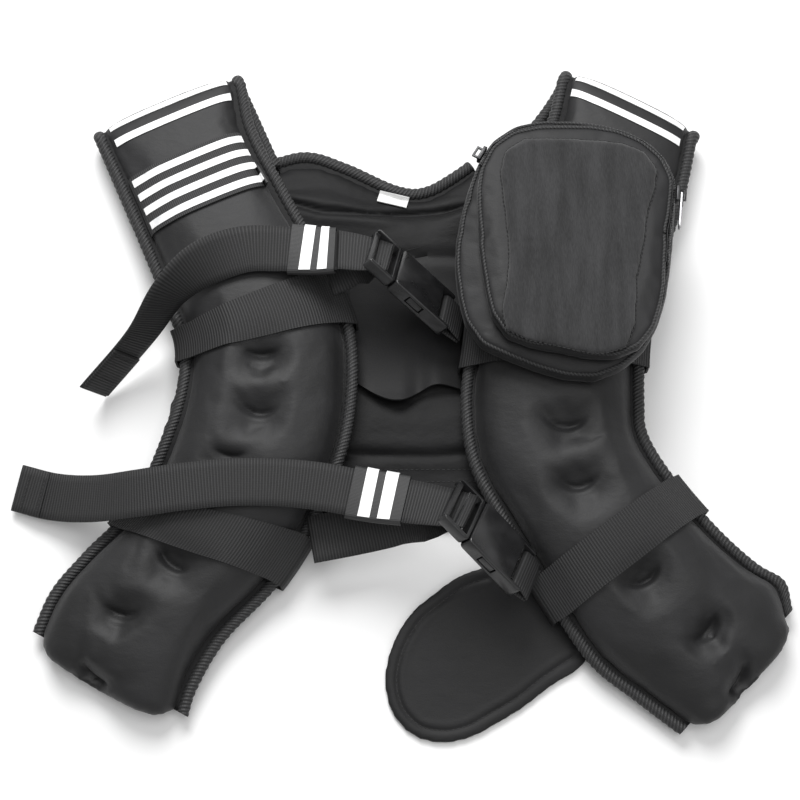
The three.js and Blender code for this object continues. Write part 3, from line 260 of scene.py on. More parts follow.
# %% Neoprene
def neoprene(name, dark=0.0065, light=0.0125, crease=0.6, gloss=0.42):
    """Knitted skin with soft creases, between a dark and a light grey."""
    skin = Finish(name)
    grain = skin.noise(0.7, 2)
    creases = skin.noise(16, 4, scale=(1.0, 1.6, 1.0))
    patches = skin.noise(45, 3)
    skin.colour((dark, dark, dark * 1.06), (light, light, light * 1.08), patches.smooth(0.3, 0.75))
    skin.feed("Roughness", 0.46 + patches * 0.16 + grain * 0.1)
    skin.bump(creases * crease + grain * 0.09, 1.0)
    skin.fix(Sheen_Weight=0.08, Sheen_Roughness=0.4, Specular_IOR_Level=gloss)
    return skin.material


NEOPRENE = neoprene("neoprene")
BACK_CLOTH = neoprene("back_cloth", 0.0035, 0.0065, 0.8, 0.2)
FLAP_CLOTH = neoprene("flap_cloth", 0.005, 0.0095, 0.4, 0.3)


# %% [markdown]
# ## Brushed cloth
# The raised face of the pouch is a napped cloth whose fibres run down the face. Noise that is
# stretched along their run gives single fibres, and a coarser one gives the strokes of a hand.

# %% Brushed cloth of the pouch face
def brushed():
    nap = Finish("brushed")
    fibres = nap.noise(1.1, 4, scale=(2.2, 0.3, 1.0))
    streaks = nap.noise(14, 4, scale=(1.6, 0.28, 1.0))
    shade = (fibres * 0.55 + streaks * 0.6).smooth(0.3, 0.85)
    nap.colour((0.006, 0.006, 0.0065), (0.034, 0.034, 0.0355), shade)
    nap.feed("Roughness", 0.8 + fibres * 0.15)
    nap.bump(fibres * 0.6 + streaks * 0.4, 0.7)
    nap.fix(Sheen_Weight=0.18, Sheen_Roughness=0.6, Specular_IOR_Level=0.3)
    return nap.material


BRUSHED = brushed()


# %% [markdown]
# ## Woven strips
# Webbing, elastic, binding and zip coil are all ribbed, and only the spacing and the slant of their
# ribs differ. Sine waves over the map in millimetres keep the ribs square to every strip's own run.

# %% Woven strips
WARP = 1.1


def webbing(name, rib, dark, light, slant=0.0, depth=0.3, roughness=0.72):
    """Ribs and warp threads a few millimetres apart, painted light on their crests and dark in their
    grooves; slant leans the ribs across the run.
    """
    weave = Finish(name)
    across, along = weave.uv()
    run = along + across * slant
    ribs = (run * (2 * math.pi / rib)).sin() * 0.5 + 0.5
    warp = (across * (2 * math.pi / WARP)).sin() * 0.5 + 0.5
    fuzz = weave.noise(1.2, 3)
    # Tone follows the relief: rib and warp crests are painted lighter and the grooves darker, as
    # painted highlight and painted shade; fuzz adds random tone.
    shade = ribs * 0.6 + warp * 0.15 + fuzz * 0.35
    weave.colour((dark, dark, dark), (light, light, light * 1.03), shade.clamp())
    weave.feed("Roughness", roughness - ribs * 0.12)
    weave.fix(Specular_IOR_Level=0.35)
    weave.bump(ribs * 0.8 + warp * 0.15 + fuzz * 0.2, depth)
    return weave.material


WEBBING = webbing("webbing", 1.9, 0.005, 0.03)
BINDING = webbing("binding", 2.4, 0.006, 0.04, slant=0.55, depth=0.45, roughness=0.62)
ELASTIC = webbing("elastic", 1.3, 0.014, 0.04, depth=0.2)
SLEEVE = webbing("sleeve", 0.9, 0.016, 0.034, depth=0.08, roughness=0.6)
COIL = webbing("zip_coil", 1.5, 0.01, 0.05, depth=0.7, roughness=0.4)


# %% [markdown]
# ## Tape, label, plastic and metal
# The tape is coated with tiny glass beads, so it is pale, fine grained and a little dusty. Moulded
# plastic has a fine grain and duller, paler wear. The metal castings are scratched along one way.

# %% Reflective tape, label, plastic and metal
def tape():
    pale = Finish("reflective")
    beads = pale.noise(0.5, 2)
    dust = pale.noise(9, 3)
    pale.colour((0.62, 0.63, 0.64), (0.86, 0.86, 0.86), dust.smooth(0.2, 0.55))
    pale.feed("Roughness", 0.34 + beads * 0.2)
    pale.bump(beads, 0.06)
    return pale.material


def label_cloth():
    weave = Finish("label")
    threads = weave.noise(0.6, 2, scale=(0.4, 2.2, 1))
    weave.colour((0.6, 0.6, 0.6), (0.8, 0.8, 0.79), threads)
    weave.feed("Roughness", 0.7 + threads * 0.2)
    weave.bump(threads, 0.12)
    return weave.material


def plastic():
    moulded = Finish("plastic")
    grain = moulded.noise(0.45, 2)
    wear = moulded.noise(12, 4)
    moulded.colour((0.009, 0.009, 0.0095), (0.02, 0.02, 0.021), wear.smooth(0.4, 0.8))
    moulded.feed("Roughness", 0.2 + wear * 0.14 + grain * 0.05)
    moulded.fix(Specular_IOR_Level=0.6)
    moulded.bump(grain, 0.05)
    return moulded.material


def worn_metal(name, dark, light):
    metal = Finish(name)
    scratches = metal.noise(1.4, 4, scale=(3, 0.5, 1))
    metal.colour((dark, dark, dark * 1.03), (light, light, light * 1.02), scratches)
    metal.feed("Roughness", 0.25 + scratches * 0.25)
    metal.bump(scratches, 0.05)
    metal.fix(Metallic=0.9)
    return metal.material


REFLECTIVE = tape()
LABEL = label_cloth()
PLASTIC = plastic()
METAL = worn_metal("metal", 0.28, 0.62)
DARK_METAL = worn_metal("dark_metal", 0.02, 0.07)
THREAD = webbing("thread", 0.8, 0.012, 0.03, slant=0.4, depth=0.1)
print("finishes:", len(bpy.data.materials))

# %% [markdown]
# ## Padded panels
# The panels are neoprene bags filled with sand. Their solids are remeshed into an even grid, eased,
# and blown up a little by a cloth simulation without gravity, which rounds the walls and leaves the
# dents in the filling. How far a point may move is capped, so that neighbours stay clear.


# %% A stuffed piece
# Frames of the simulation, and the height in millimetres below which a point rests on the floor
CLOTH_STEPS = 14
RESTING = 1.2


def regridded(piece, voxel, ease):
    """Gives a solid an even grid and eases its corners."""
    remesh = piece.modifiers.new("grid", "REMESH")
    remesh.mode = "VOXEL"
    remesh.voxel_size = voxel * MM
    remesh.adaptivity = 0
    smooth = piece.modifiers.new("ease", "SMOOTH")
    smooth.factor = 0.5
    smooth.iterations = ease
    apply_modifiers(piece)


def points_of(mesh, what="co"):
    """The points of a mesh, or its normals, as rows of three numbers."""
    values = np.zeros(len(mesh.vertices) * 3, np.float32)
    mesh.vertices.foreach_get(what, values)
    return values.reshape(-1, 3)


def set_points(mesh, points):
    mesh.vertices.foreach_set("co", points.astype(np.float32).ravel())
    mesh.update()


def blown_up(piece, pressure, cap):
    """Fills a bag by pressure; no point moves further than the cap, and what rests stays."""
    before = points_of(piece.data)
    cloth = piece.modifiers.new("cloth", "CLOTH")
    cloth.settings.quality = 5
    cloth.settings.use_pressure = True
    cloth.settings.uniform_pressure_force = pressure
    cloth.settings.tension_stiffness = 25
    cloth.settings.compression_stiffness = 25
    cloth.settings.bending_stiffness = 0.6
    cloth.settings.effector_weights.gravity = 0
    cloth.collision_settings.use_collision = False
    cloth.point_cache.frame_start = 1
    cloth.point_cache.frame_end = CLOTH_STEPS
    for step in range(1, CLOTH_STEPS + 1):
        bpy.context.scene.frame_set(step)
    apply_modifiers(piece)
    bpy.context.scene.frame_set(1)
    move = points_of(piece.data) - before
    far = np.linalg.norm(move, axis=1, keepdims=True)
    move *= np.minimum(1, cap * MM / np.maximum(far, 1e-9))
    move = np.where(before[:, 2:3] < RESTING * MM, 0, move)
    placed = before + move
    placed[:, 2] = np.maximum(placed[:, 2], 0)
    set_points(piece.data, placed)
    print(piece.name, "moved", round(float(np.linalg.norm(move, axis=1).max()) * 1000, 1), "mm")


def stuffed(node, name, voxel, ease, pressure, cap):
    """A padded piece from a solid: an even grid, eased, blown up and made finer."""
    piece = copy_solid(node, name)
    regridded(piece, voxel, ease)
    if cap:
        blown_up(piece, pressure, cap)
    finer = piece.modifiers.new("finer", "SUBSURF")
    finer.levels = finer.render_levels = 1
    apply_modifiers(piece)
    piece.data.shade_smooth()
    return piece


SAND_FILLED = {"voxel": 3.0, "ease": 6, "pressure": 3.0, "cap": 3.0}
right_panel = stuffed("right_front_panel", "right_panel_cloth", **SAND_FILLED)
left_panel = stuffed("left_front_panel", "left_panel_cloth", **SAND_FILLED)
back = stuffed("back_panel", "back_cloth_panel", voxel=4.0, ease=6, pressure=3.0, cap=1.5)
flap = stuffed("rear_flap", "rear_flap_cloth", voxel=1.8, ease=2, pressure=0, cap=0)

# %% [markdown]
# ## Tacked dents
# The panels are tacked through in a row of places, so that the sand stays spread out. Each tack pulls
# the skin into a hollow with a curved crease, a soft lip below it and a few short wrinkles round it.
# A formula presses these into the finished mesh, because the remesh would melt creases this thin.

# %% Dents of the panels
# Place in millimetres, turn in degrees and strength of each dent
DENTS = {
    "right": [
        (-88, 26, 4, 1.0), (-90, -11, -6, 1.1), (-108, -40, -10, 0.6), (-143, -106, -38, 1.0),
        (-174, -138, -8, 0.95), (-193, -178, -40, 1.2),
    ],
    "left": [
        (106, -20, 2, 1.1), (113, -58, 10, 1.1), (153, -117, 32, 1.0), (192, -149, 50, 1.0),
        (213, -180, 62, 1.2),
    ],
}


def dent(u, v, strength):
    """Depth in millimetres of one dent, for places along and across its crease."""
    bent = v - 0.028 * u**2 + 2
    hollow = 2.6 * np.exp(-((u / 15) ** 2) - (bent / 8) ** 2)
    crease = 3.4 * np.exp(-((u / 9.5) ** 4) - np.abs(bent / 1.9) ** 1.4)
    lip = 1.1 * np.exp(-((u / 11) ** 2) - ((bent + 4.2) / 2.4) ** 2)
    ring = np.exp(-((((u**2 + bent**2) ** 0.5 - 13) / 5) ** 2))
    wrinkles = 0.35 * np.cos(np.arctan2(bent, u) * 5 + strength * 9) * ring
    return strength * (hollow + crease - lip + wrinkles)


def tucked(piece, dents):
    """Presses the dents into the upper side of a panel."""
    place, normal = points_of(piece.data), points_of(piece.data, "normal")
    facing = np.clip((normal[:, 2] - 0.05) / 0.4, 0, 1)
    depth = np.zeros(len(place))
    for x, y, degrees, strength in dents:
        turn = math.radians(degrees)
        dx, dy = place[:, 0] * 1000 - x, place[:, 1] * 1000 - y
        along = dx * math.cos(turn) + dy * math.sin(turn)
        across = -dx * math.sin(turn) + dy * math.cos(turn)
        depth += dent(along, across, strength)
    set_points(piece.data, place - normal * (depth * facing * MM)[:, None])


tucked(right_panel, DENTS["right"])
tucked(left_panel, DENTS["left"])
for piece, node, material, fill in [
    (right_panel, "right_front_panel", NEOPRENE, 0.8),
    (left_panel, "left_front_panel", NEOPRENE, 0.8),
    (back, "back_panel", BACK_CLOTH, 0.4),
    (flap, "rear_flap", FLAP_CLOTH, 0.3),
]:
    finish_piece(piece, material, "neoprene", node)
print("dents:", sum(len(rows) for rows in DENTS.values()))

# %% [markdown]
# ## Plan of the panels
# Binding, bands and stripes follow the panels, so the panels' plan lines are kept here as tables.
# Lengths in a row are shares of the named sizes below, and the last column is a turn in degrees.

# %% Sizes in millimetres
HALF_WIDTH = 255
HALF_LENGTH = 227
# Panels: width, thickness, rise over the layer below and thickness at the shoulder
PANEL_WIDTH = 104
PANEL_THICKNESS = 34
LAYER = 17
SHOULDER = 11
# Fold: gap between its two layers and length of the layer that runs back
GAP = 6
RETURN = 58
# Side seam: its thickness, and its level as a share of the panel's thickness
SEAM = 4
SEAM_SHARE = 0.3
# Tapes
BINDING_WIDTH = 7.5
WEBBING_WIDTH = 30
WEBBING_THICKNESS = 1.5
print("vest:", 2 * HALF_WIDTH, "by", 2 * HALF_LENGTH, "mm")

# %% Plan tables
# Place along the panel, middle (side, along), width, thickness, lift and turn
PLAN = {
    "right": [
        (0, -0.718, -0.768, 0.95, 0.86, 0, -28.3), (0.05, -0.69, -0.681, 0.95, 0.96, 0, -33),
        (0.13, -0.618, -0.56, 0.9, 1, 0.06, -31.3), (0.246, -0.489, -0.406, 0.92, 1, 0.3, -25.4),
        (0.417, -0.365, -0.126, 0.99, 1, 0.86, -9.6), (0.51, -0.336, 0.041, 0.98, 1, 0.88, 0),
        (0.586, -0.339, 0.181, 0.955, 0.98, 0.88, 6.7), (0.691, -0.402, 0.358, 0.905, 0.88, 0.88, 19.4),
        (0.807, -0.483, 0.549, 0.86, 0.68, 0.92, 23.9), (0.928, -0.565, 0.75, 0.84, 0.42, 0.97, 24.5),
        (1, -0.602, 0.876, 0.9, 0.324, 1, 23.8),
    ],
    "left": [
        (0, 0.833, -0.762, 0.9, 0.86, 0, 46.5), (0.06, 0.771, -0.676, 1.05, 0.96, 0, 38),
        (0.119, 0.69, -0.612, 1.065, 1, 0.1, 32.4), (0.222, 0.576, -0.469, 0.99, 1, 0.5, 29),
        (0.364, 0.444, -0.25, 0.935, 1, 0.84, 25), (0.434, 0.395, -0.132, 0.98, 1, 0.88, 12),
        (0.498, 0.385, -0.014, 1, 1, 0.88, 0.6), (0.582, 0.396, 0.144, 0.98, 0.96, 0.88, 0.3),
        (0.692, 0.427, 0.344, 0.96, 0.8, 0.9, -10), (0.8, 0.491, 0.532, 0.92, 0.6, 0.94, -16),
        (0.927, 0.569, 0.753, 0.855, 0.4, 0.98, -26), (1, 0.597, 0.885, 0.85, 0.324, 1, -27),
    ],
}


def table(rows):
    """Smooth curves through the rows of a table whose first column is the place."""
    places = [row[0] for row in rows]
    values = np.array([row[1:] for row in rows], float)

    def at(place):
        after = min(max(bisect.bisect_right(places, place), 1), len(places) - 1)
        before = after - 1
        t0, t1 = places[before], places[after]
        first, t_first = (before - 1, places[before - 1]) if before else (after, t1)
        last = after + 1 if after + 1 < len(places) else before
        t_last = places[last]
        half = (t1 - t0) / 2
        wp, wn = half / (t0 - t_first), half / (t_last - t1)
        p = (place - t0) / (t1 - t0)
        s_first = -wp * p**3 + 2 * wp * p**2 - wp * p
        s0 = (1 + wp) * p**3 + (-1.5 - 2 * wp) * p**2 + (-0.5 + wp) * p + 1
        s1 = (-1 - wn) * p**3 + (1.5 + wn) * p**2 + 0.5 * p
        s_last = wn * p**3 - wn * p**2
        parts = zip((s_first, s0, s1, s_last), (first, before, after, last))
        return sum(weight * values[row] for weight, row in parts)

    return at


# %% Stations of a panel
RUN_STEPS = 90
FOLD_STEPS = 12
RETURN_STEPS = 8


def plan(side, along, height=0.0):
    """A point in millimetres from shares of the vest's half width and half length."""
    return Vector((side * HALF_WIDTH, along * HALF_LENGTH, height))


def turned(vector, axis, degrees):
    return Matrix.Rotation(math.radians(degrees), 3, axis) @ vector


def panel_stations(rows, skew):
    """Middle, across, up, half width and thickness along a panel, over its fold and its return."""
    at = table(rows)
    stations = []
    for i in range(RUN_STEPS + 1):
        side, along, width, thick, lift, turn = at(i / RUN_STEPS)
        across = turned(Vector((1, 0, 0)), UP, turn)
        thick = max(thick * PANEL_THICKNESS, SHOULDER)
        middle = plan(side, along, max(0, lift) * LAYER)
        stations.append((middle, across, UP.copy(), width * PANEL_WIDTH / 2, thick))
    middle, across, up, half, _ = stations[-1]
    middle = Vector((middle.x, middle.y, LAYER))
    stations[-1] = (middle, across, up, half, SHOULDER)
    heading = UP.cross(across)
    axis = middle - UP * GAP / 2
    for i in range(1, FOLD_STEPS + 1):
        tilt = turned(UP, across, -180 / FOLD_STEPS * i)
        stations.append((axis + tilt * GAP / 2, across, tilt, half, SHOULDER))
    for i in range(1, RETURN_STEPS + 1):
        turn = skew * i / RETURN_STEPS
        step = -turned(heading, UP, turn) * RETURN / RETURN_STEPS
        last = stations[-1]
        stations.append((last[0] + step, turned(across, UP, turn), last[2], half, SHOULDER))
    return stations


RIGHT = panel_stations(PLAN["right"], 0)
LEFT = panel_stations(PLAN["left"], -15)
print("stations:", len(RIGHT), "and", len(LEFT))

# %% [markdown]
# ## Tubes and strips
# Binding tape is a rolled edge, so it is a round tube that follows the seam. Webbing is a thin
# strip with rounded edges. Both get a map in millimetres, across and along, so that their ribs
# follow every turn.


# %% Swept pieces
def swept(name, rings, lengths, widths):
    """A skin through rings of points in millimetres, mapped by the distance round and along."""
    count = len(rings[0])
    points = [p * MM for ring in rings for p in ring]
    faces, uvs = [], []
    for i, (v0, v1) in enumerate(zip(lengths, lengths[1:])):
        near, far = i * count, (i + 1) * count
        for j in range(count):
            k = (j + 1) % count
            faces.append((near + j, near + k, far + k, far + j))
            uvs += [(widths[j], v0), (widths[j + 1], v0), (widths[j + 1], v1), (widths[j], v1)]
    faces.append(tuple(reversed(range(count))))
    uvs += [(widths[j], lengths[0]) for j in reversed(range(count))]
    last = (len(rings) - 1) * count
    faces.append(tuple(last + j for j in range(count)))
    uvs += [(widths[j], lengths[-1]) for j in range(count)]
    piece = new_piece(name, points, faces, uvs)
    focus(piece)
    bpy.ops.object.mode_set(mode="EDIT")
    bpy.ops.mesh.select_all(action="SELECT")
    bpy.ops.mesh.normals_make_consistent(inside=False)
    bpy.ops.object.mode_set(mode="OBJECT")
    return piece


def distances(points):
    """Distance along a line of points, from its first one to each of them."""
    total = [0.0]
    for a, b in zip(points, points[1:]):
        total.append(total[-1] + (b - a).length)
    return total


def leg_at(run, where):
    """The leg that holds a distance along a run, and the share of that leg before it."""
    after = min(max(bisect.bisect_right(run, where), 1), len(run) - 1)
    return after, (where - run[after - 1]) / max(run[after] - run[after - 1], 1e-6)


# %% Braided edge
def tube(name, centres, axes, width, height, sides=18, pitch=4.6, depth=0.065, spacing=0.8):
    """A round edge of twisted braid; its girth swells along slanted lines."""
    run = distances(centres)
    count = int(run[-1] / spacing)
    rings, lengths = [], []
    for i in range(count + 1):
        where = run[-1] * i / count
        after, part = leg_at(run, where)
        centre = centres[after - 1].lerp(centres[after], part)
        across = axes[after - 1][0].lerp(axes[after][0], part)
        up = axes[after - 1][1].lerp(axes[after][1], part)
        ring = []
        for j in range(sides):
            angle = 2 * math.pi * j / sides
            twist = 2 * math.pi * where / pitch
            girth = 1 + depth * max(math.sin(twist + angle), math.sin(twist - angle))
            x = math.cos(angle) * width / 2 * girth
            z = math.sin(angle) * height / 2 * girth
            ring.append(centre + across * x + up * z)
        rings.append(ring)
        lengths.append(where)
    round_run = [j * math.pi * (width + height) / 2 / sides for j in range(sides + 1)]
    return swept(name, rings, lengths, round_run)


# %% Flat strip
STRIP_PARTS = 6


def strip(name, stations, width=WEBBING_WIDTH, thickness=WEBBING_THICKNESS):
    """A flat strip through stations of middle, across and up, with softly rounded edges."""
    top = [(-0.5 + j / STRIP_PARTS, 1) for j in range(STRIP_PARTS + 1)]
    outline = top + [(0.5, 0)] + [(x, -1) for x, _ in reversed(top)] + [(-0.5, 0)]
    rings = []
    for middle, across, up in stations:
        ring = []
        for x, side in outline:
            edge = 0.82 if abs(x) > 0.49 and side else 1.0
            bulge = 0.3 if abs(x) > 0.49 and not side else 0.0
            reach = x * width + math.copysign(bulge, x)
            ring.append(middle + across * reach + up * side * thickness * edge / 2)
        rings.append(ring)
    run = [x * width for x, _ in outline]
    return swept(name, rings, distances([s[0] for s in stations]), run + [run[0]])


# %% [markdown]
# ## Edge bindings
# The side seams of a panel are covered by a twisted braid. Under it the two skins of the panel meet
# in a thin flat seam, which closes the view between the braid and the padded skin. The seam is cut
# from the darker back cloth, which paints shade into that narrow gap.

# %% Bindings of the front panels
BRAID_OUT = 3.4
BRAID_WIDTH = 7.8
BRAID_HEIGHT = 6.6
SEAM_IN = 3
SEAM_WIDTH = 12
SEAM_THICKNESS = 2.6


def bindings(stations, name, node_names):
    """Braid and seam along both sides of a panel; the first node is the one towards -X."""
    for side, node in zip((-1, 1), node_names):
        centres, axes, seams = [], [], []
        for middle, across, up, half, thick in stations:
            level = middle + up * ((thick - SEAM) * SEAM_SHARE + SEAM / 2)
            centres.append(level + across * side * (half + BRAID_OUT))
            axes.append((across, up))
            seams.append((level + across * side * (half - SEAM_IN), across, up))
        edge = "outer" if "outer" in node else "inner"
        piece = tube(f"{name}_{edge}_edge", centres, axes, BRAID_WIDTH, BRAID_HEIGHT)
        finish_piece(piece, BINDING, "binding", node)
        seam = strip(f"{name}_{edge}_seam", seams, SEAM_WIDTH, SEAM_THICKNESS)
        # The darker back cloth on the seam is painted shade in the gap between braid and padded skin.
        finish_piece(seam, BACK_CLOTH, "neoprene")


bindings(RIGHT, "right", ["right_outer_binding", "right_inner_binding"])
bindings(LEFT, "left", ["left_inner_binding", "left_outer_binding"])
print("bindings done")

# %% [markdown]
# ## Furrows of the back panel
# The back panel is creased where it folds under the neck, and its two rolls of padding end in soft
# lines. A furrow is pressed along such a plan line, with the cloth swelling a little beside it. It
# could be sculpted by hand, but a line and a formula give the same result in each run.


# %% Furrows
# In millimetres: cloth left under a furrow, and the height from which a point is on the upper side
THINNEST = 1.2
UPPER_SIDE = 2.0
# Spacing of the points of a line in millimetres, and how many points are measured at a time
LINE_SPACING = 1.2
CHUNK = 4000


def furrow(piece, line, depth, width, swell):
    """Presses a furrow along a plan line in millimetres into the top of a piece."""
    place = points_of(piece.data)
    dense = []
    for a, b in zip(line, line[1:]):
        steps = max(1, int((b - a).length / LINE_SPACING))
        dense += [tuple(a.lerp(b, i / steps))[:2] for i in range(steps)]
    dense = np.array(dense + [tuple(line[-1])[:2]])
    upper = np.flatnonzero(place[:, 2] > UPPER_SIDE * MM)
    for chunk in np.array_split(upper, max(1, len(upper) // CHUNK)):
        away = place[chunk, None, :2] * 1000 - dense[None]
        far = np.sqrt((away**2).sum(axis=2)).min(axis=1)
        groove = depth * np.exp(-((far / width) ** 2))
        raised = swell * np.exp(-(((far - 3 * width) / width / 1.6) ** 2))
        place[chunk, 2] = np.maximum(place[chunk, 2] - (groove - raised) * MM, THINNEST * MM)
    set_points(piece.data, place)


def flat_line(points):
    return [Vector((x, y, 0)) for x, y in points]


FOLD_EDGE = [(-76, 140), (-53, 133), (-17, 131), (7, 132), (30, 134), (64, 142)]
LOW_ROLL = [(-70, -30), (-30, -33), (20, -34), (70, -30)]
HIGH_ROLL = [(-66, 96), (-20, 100), (30, 101), (70, 98)]
furrow(back, flat_line(FOLD_EDGE), depth=3.4, width=2.0, swell=0.8)
for roll in (LOW_ROLL, HIGH_ROLL):
    furrow(back, flat_line(roll), depth=2.2, width=2.6, swell=0.5)
print("furrows pressed")

# %% [markdown]
# ## Looking for the skin
# Stripes, bands and flaps lie on the stuffed panels. Where they lie is found by looking from outside
# along a straight line onto the panel's skin, so they follow every swelling. A Shrinkwrap modifier
# would do the same, but it also pulls the edges inwards where the skin turns away.


# %% Search trees
def skin_of(*pieces):
    """A search tree over the faces of some pieces."""
    points, faces = [], []
    for piece in pieces:
        start = len(points)
        points += [vertex.co.copy() for vertex in piece.data.vertices]
        faces += [[start + i for i in face.vertices] for face in piece.data.polygons]
    return BVHTree.FromPolygons(points, faces)


def below(skin, x, y, otherwise=0.0):
    """Height in millimetres of the skin under a plan point."""
    hit = skin.ray_cast(Vector((x, y, 200)) * MM, -UP)
    return hit[0].z / MM if hit[0] else otherwise


right_skin = skin_of(right_panel)
left_skin = skin_of(left_panel)
back_skin = skin_of(back)
print("search trees ready")

# %% [markdown]
# ## Sheets laid on the panels
# A strip of cloth is one open grid of points that is thickened by a Solidify modifier. Its map is in
# millimetres, so that the ribs of its weave have their real size on every piece.


# %% Sheets and places on a panel
SHARP = math.radians(50)


def sheet_piece(name, grid, across, along, thickness, facing=None, around=False):
    """A thin sheet through rows of points in millimetres, mapped by two lists of distances."""
    rows, columns = len(grid), len(grid[0])
    points = [p * MM for line in grid for p in line]
    faces, uvs = [], []
    for i in range(rows if around else rows - 1):
        n = (i + 1) % rows
        for j in range(columns - 1):
            faces.append((i * columns + j, i * columns + j + 1, n * columns + j + 1, n * columns + j))
            a, b, c, d = across[j], across[j + 1], along[i], along[i + 1]
            uvs += [(a, c), (b, c), (b, d), (a, d)]
    piece = new_piece(name, points, faces, uvs)
    middle = sum((face.center for face in piece.data.polygons), Vector()) / len(faces)
    side = 0.0
    for face in piece.data.polygons:
        outward = facing or face.center - middle
        side += face.normal.dot(outward) * face.area
    if side < 0:
        piece.data.flip_normals()
    thick = piece.modifiers.new("thickness", "SOLIDIFY")
    thick.thickness = thickness * MM
    thick.offset = 1
    apply_modifiers(piece)
    focus(piece)
    bpy.ops.object.shade_smooth_by_angle(angle=SHARP)
    return piece


def station_at(stations, place):
    """Middle, across, up and what else a station holds, between two of them."""
    lower = min(max(int(place), 0), len(stations) - 2)
    part = place - lower
    pairs = zip(stations[lower], stations[lower + 1])
    middle, across, up, *rest = [x + (y - x) * part for x, y in pairs]
    return middle, across.normalized(), up.normalized(), *rest


def spacing(stations, first):
    """Mean distance between four neighbouring stations."""
    return (stations[first][0] - stations[first + 3][0]).length / 3


def place_from_fold(stations, distance):
    """The place that lies a distance down from the start of the shoulder fold."""
    if distance < 0:
        return RUN_STEPS - distance / ((GAP / 2 + SHOULDER) * math.pi / FOLD_STEPS)
    return RUN_STEPS - distance / spacing(stations, RUN_STEPS - 3)


# %% Sheets across a panel
SHEET_COLUMNS = 40
# Looking for the skin: height of the eye over the panel and how far it sees, in millimetres
EYE = 16
SIGHT = 45


def laid(name, skin, stations, near, far, span, lift, thickness, rows):
    """A sheet across a panel between two distances from the fold, ribbed across its own run.

    span is the share of the panel's width, and lift the distance off the skin.
    """
    columns = SHEET_COLUMNS
    grid = []
    for i in range(rows + 1):
        place = place_from_fold(stations, near + (far - near) * i / rows)
        middle, across, up, half, thick = station_at(stations, place)
        line = []
        for j in range(columns + 1):
            share = span * (2 * j / columns - 1)
            aim = middle + across * share * half + up * thick
            hit = skin.ray_cast((aim + up * EYE) * MM, -up, SIGHT * MM)
            found = hit[0] / MM if hit[0] else aim
            line.append(found + up * lift)
        grid.append(line)
    for _ in range(rows // 2):
        threes = zip(grid, grid[1:], grid[2:])
        inner = [[(a + b * 2 + c) / 4 for a, b, c in zip(*three)] for three in threes]
        grid = [grid[0]] + inner + [grid[-1]]
    half = station_at(stations, place_from_fold(stations, near))[3]
    wide = [span * half * 2 * j / columns for j in range(columns + 1)]
    long = [(far - near) * i / rows for i in range(rows + 1)]
    swapped = [list(column) for column in zip(*grid)]
    return sheet_piece(name, swapped, long, wide, thickness, UP)


# %% [markdown]
# ## Reflective stripes and the elastic band
# Two stripes cross each shoulder, one of them on the fold. On the right shoulder an elastic keeper
# band with four woven stripes lies across the panel. Each is a sheet laid on the panel's skin.

# %% Stripes and elastic band
STRIPE = 5.2
STRIPE_STARTS = {"shoulder_stripe": 4, "fold_stripe": -9}
ON_SHOULDER = {"span": 0.9, "lift": 0.35, "thickness": 0.5, "rows": 4}
for side, stations, skin in [("right", RIGHT, right_skin), ("left", LEFT, left_skin)]:
    for label, start in STRIPE_STARTS.items():
        name = f"{side}_{label}_tape"
        piece = laid(name, skin, stations, start, start + STRIPE, **ON_SHOULDER)
        finish_piece(piece, REFLECTIVE, "reflective", f"{side}_{label}")

ELASTIC_START = 34
ELASTIC_END = 78
ELASTIC_SHEET = {"span": 0.93, "lift": 0.35, "thickness": 1.4, "rows": 22}
elastic = laid("elastic_keeper", right_skin, RIGHT, ELASTIC_START, ELASTIC_END, **ELASTIC_SHEET)
finish_piece(elastic, ELASTIC, "webbing", "elastic_band")
elastic_skin = skin_of(elastic)
ELASTIC_PITCH = (ELASTIC_END - ELASTIC_START) / 4
ON_ELASTIC = {"span": 0.9, "lift": 0.12, "thickness": 0.45, "rows": 4}
for i in range(4):
    start = ELASTIC_END - (i + 0.5) * ELASTIC_PITCH - STRIPE / 2
    name = f"elastic_line_{i + 1}"
    piece = laid(name, elastic_skin, RIGHT, start, start + STRIPE, **ON_ELASTIC)
    finish_piece(piece, REFLECTIVE, "reflective", f"elastic_stripe_{i + 1}")
print("stripes done")

# %% [markdown]
# ## Webbing bands round the panels
# A band is pulled tight round a panel, so it bridges the hollows. For each line along the band the
# heights of the skin are replaced by their upper hull, and the line is closed under the panel.


# %% Pulling a line taut
def hull_heights(places, heights):
    """Heights of a line pulled taut over the given ones."""
    kept = []
    for point in zip(places, heights):
        while len(kept) > 1:
            (ax, ay), (bx, by) = kept[-2:]
            if (bx - ax) * (point[1] - ay) - (by - ay) * (point[0] - ax) < 0:
                break
            kept.pop()
        kept.append(point)
    return np.interp(places, [p[0] for p in kept], [p[1] for p in kept])


# %% Taut bands
BAND_COLUMNS = 8
BAND_PARTS = 40
BAND_THICKNESS = 1.4
# Clearance over the skin, drop at the edges, depth under the panel and height over the floor
BAND_CLEAR = 0.7
BAND_DROP = 2.5
BAND_UNDER = 1.2
BAND_LOWEST = 1.6


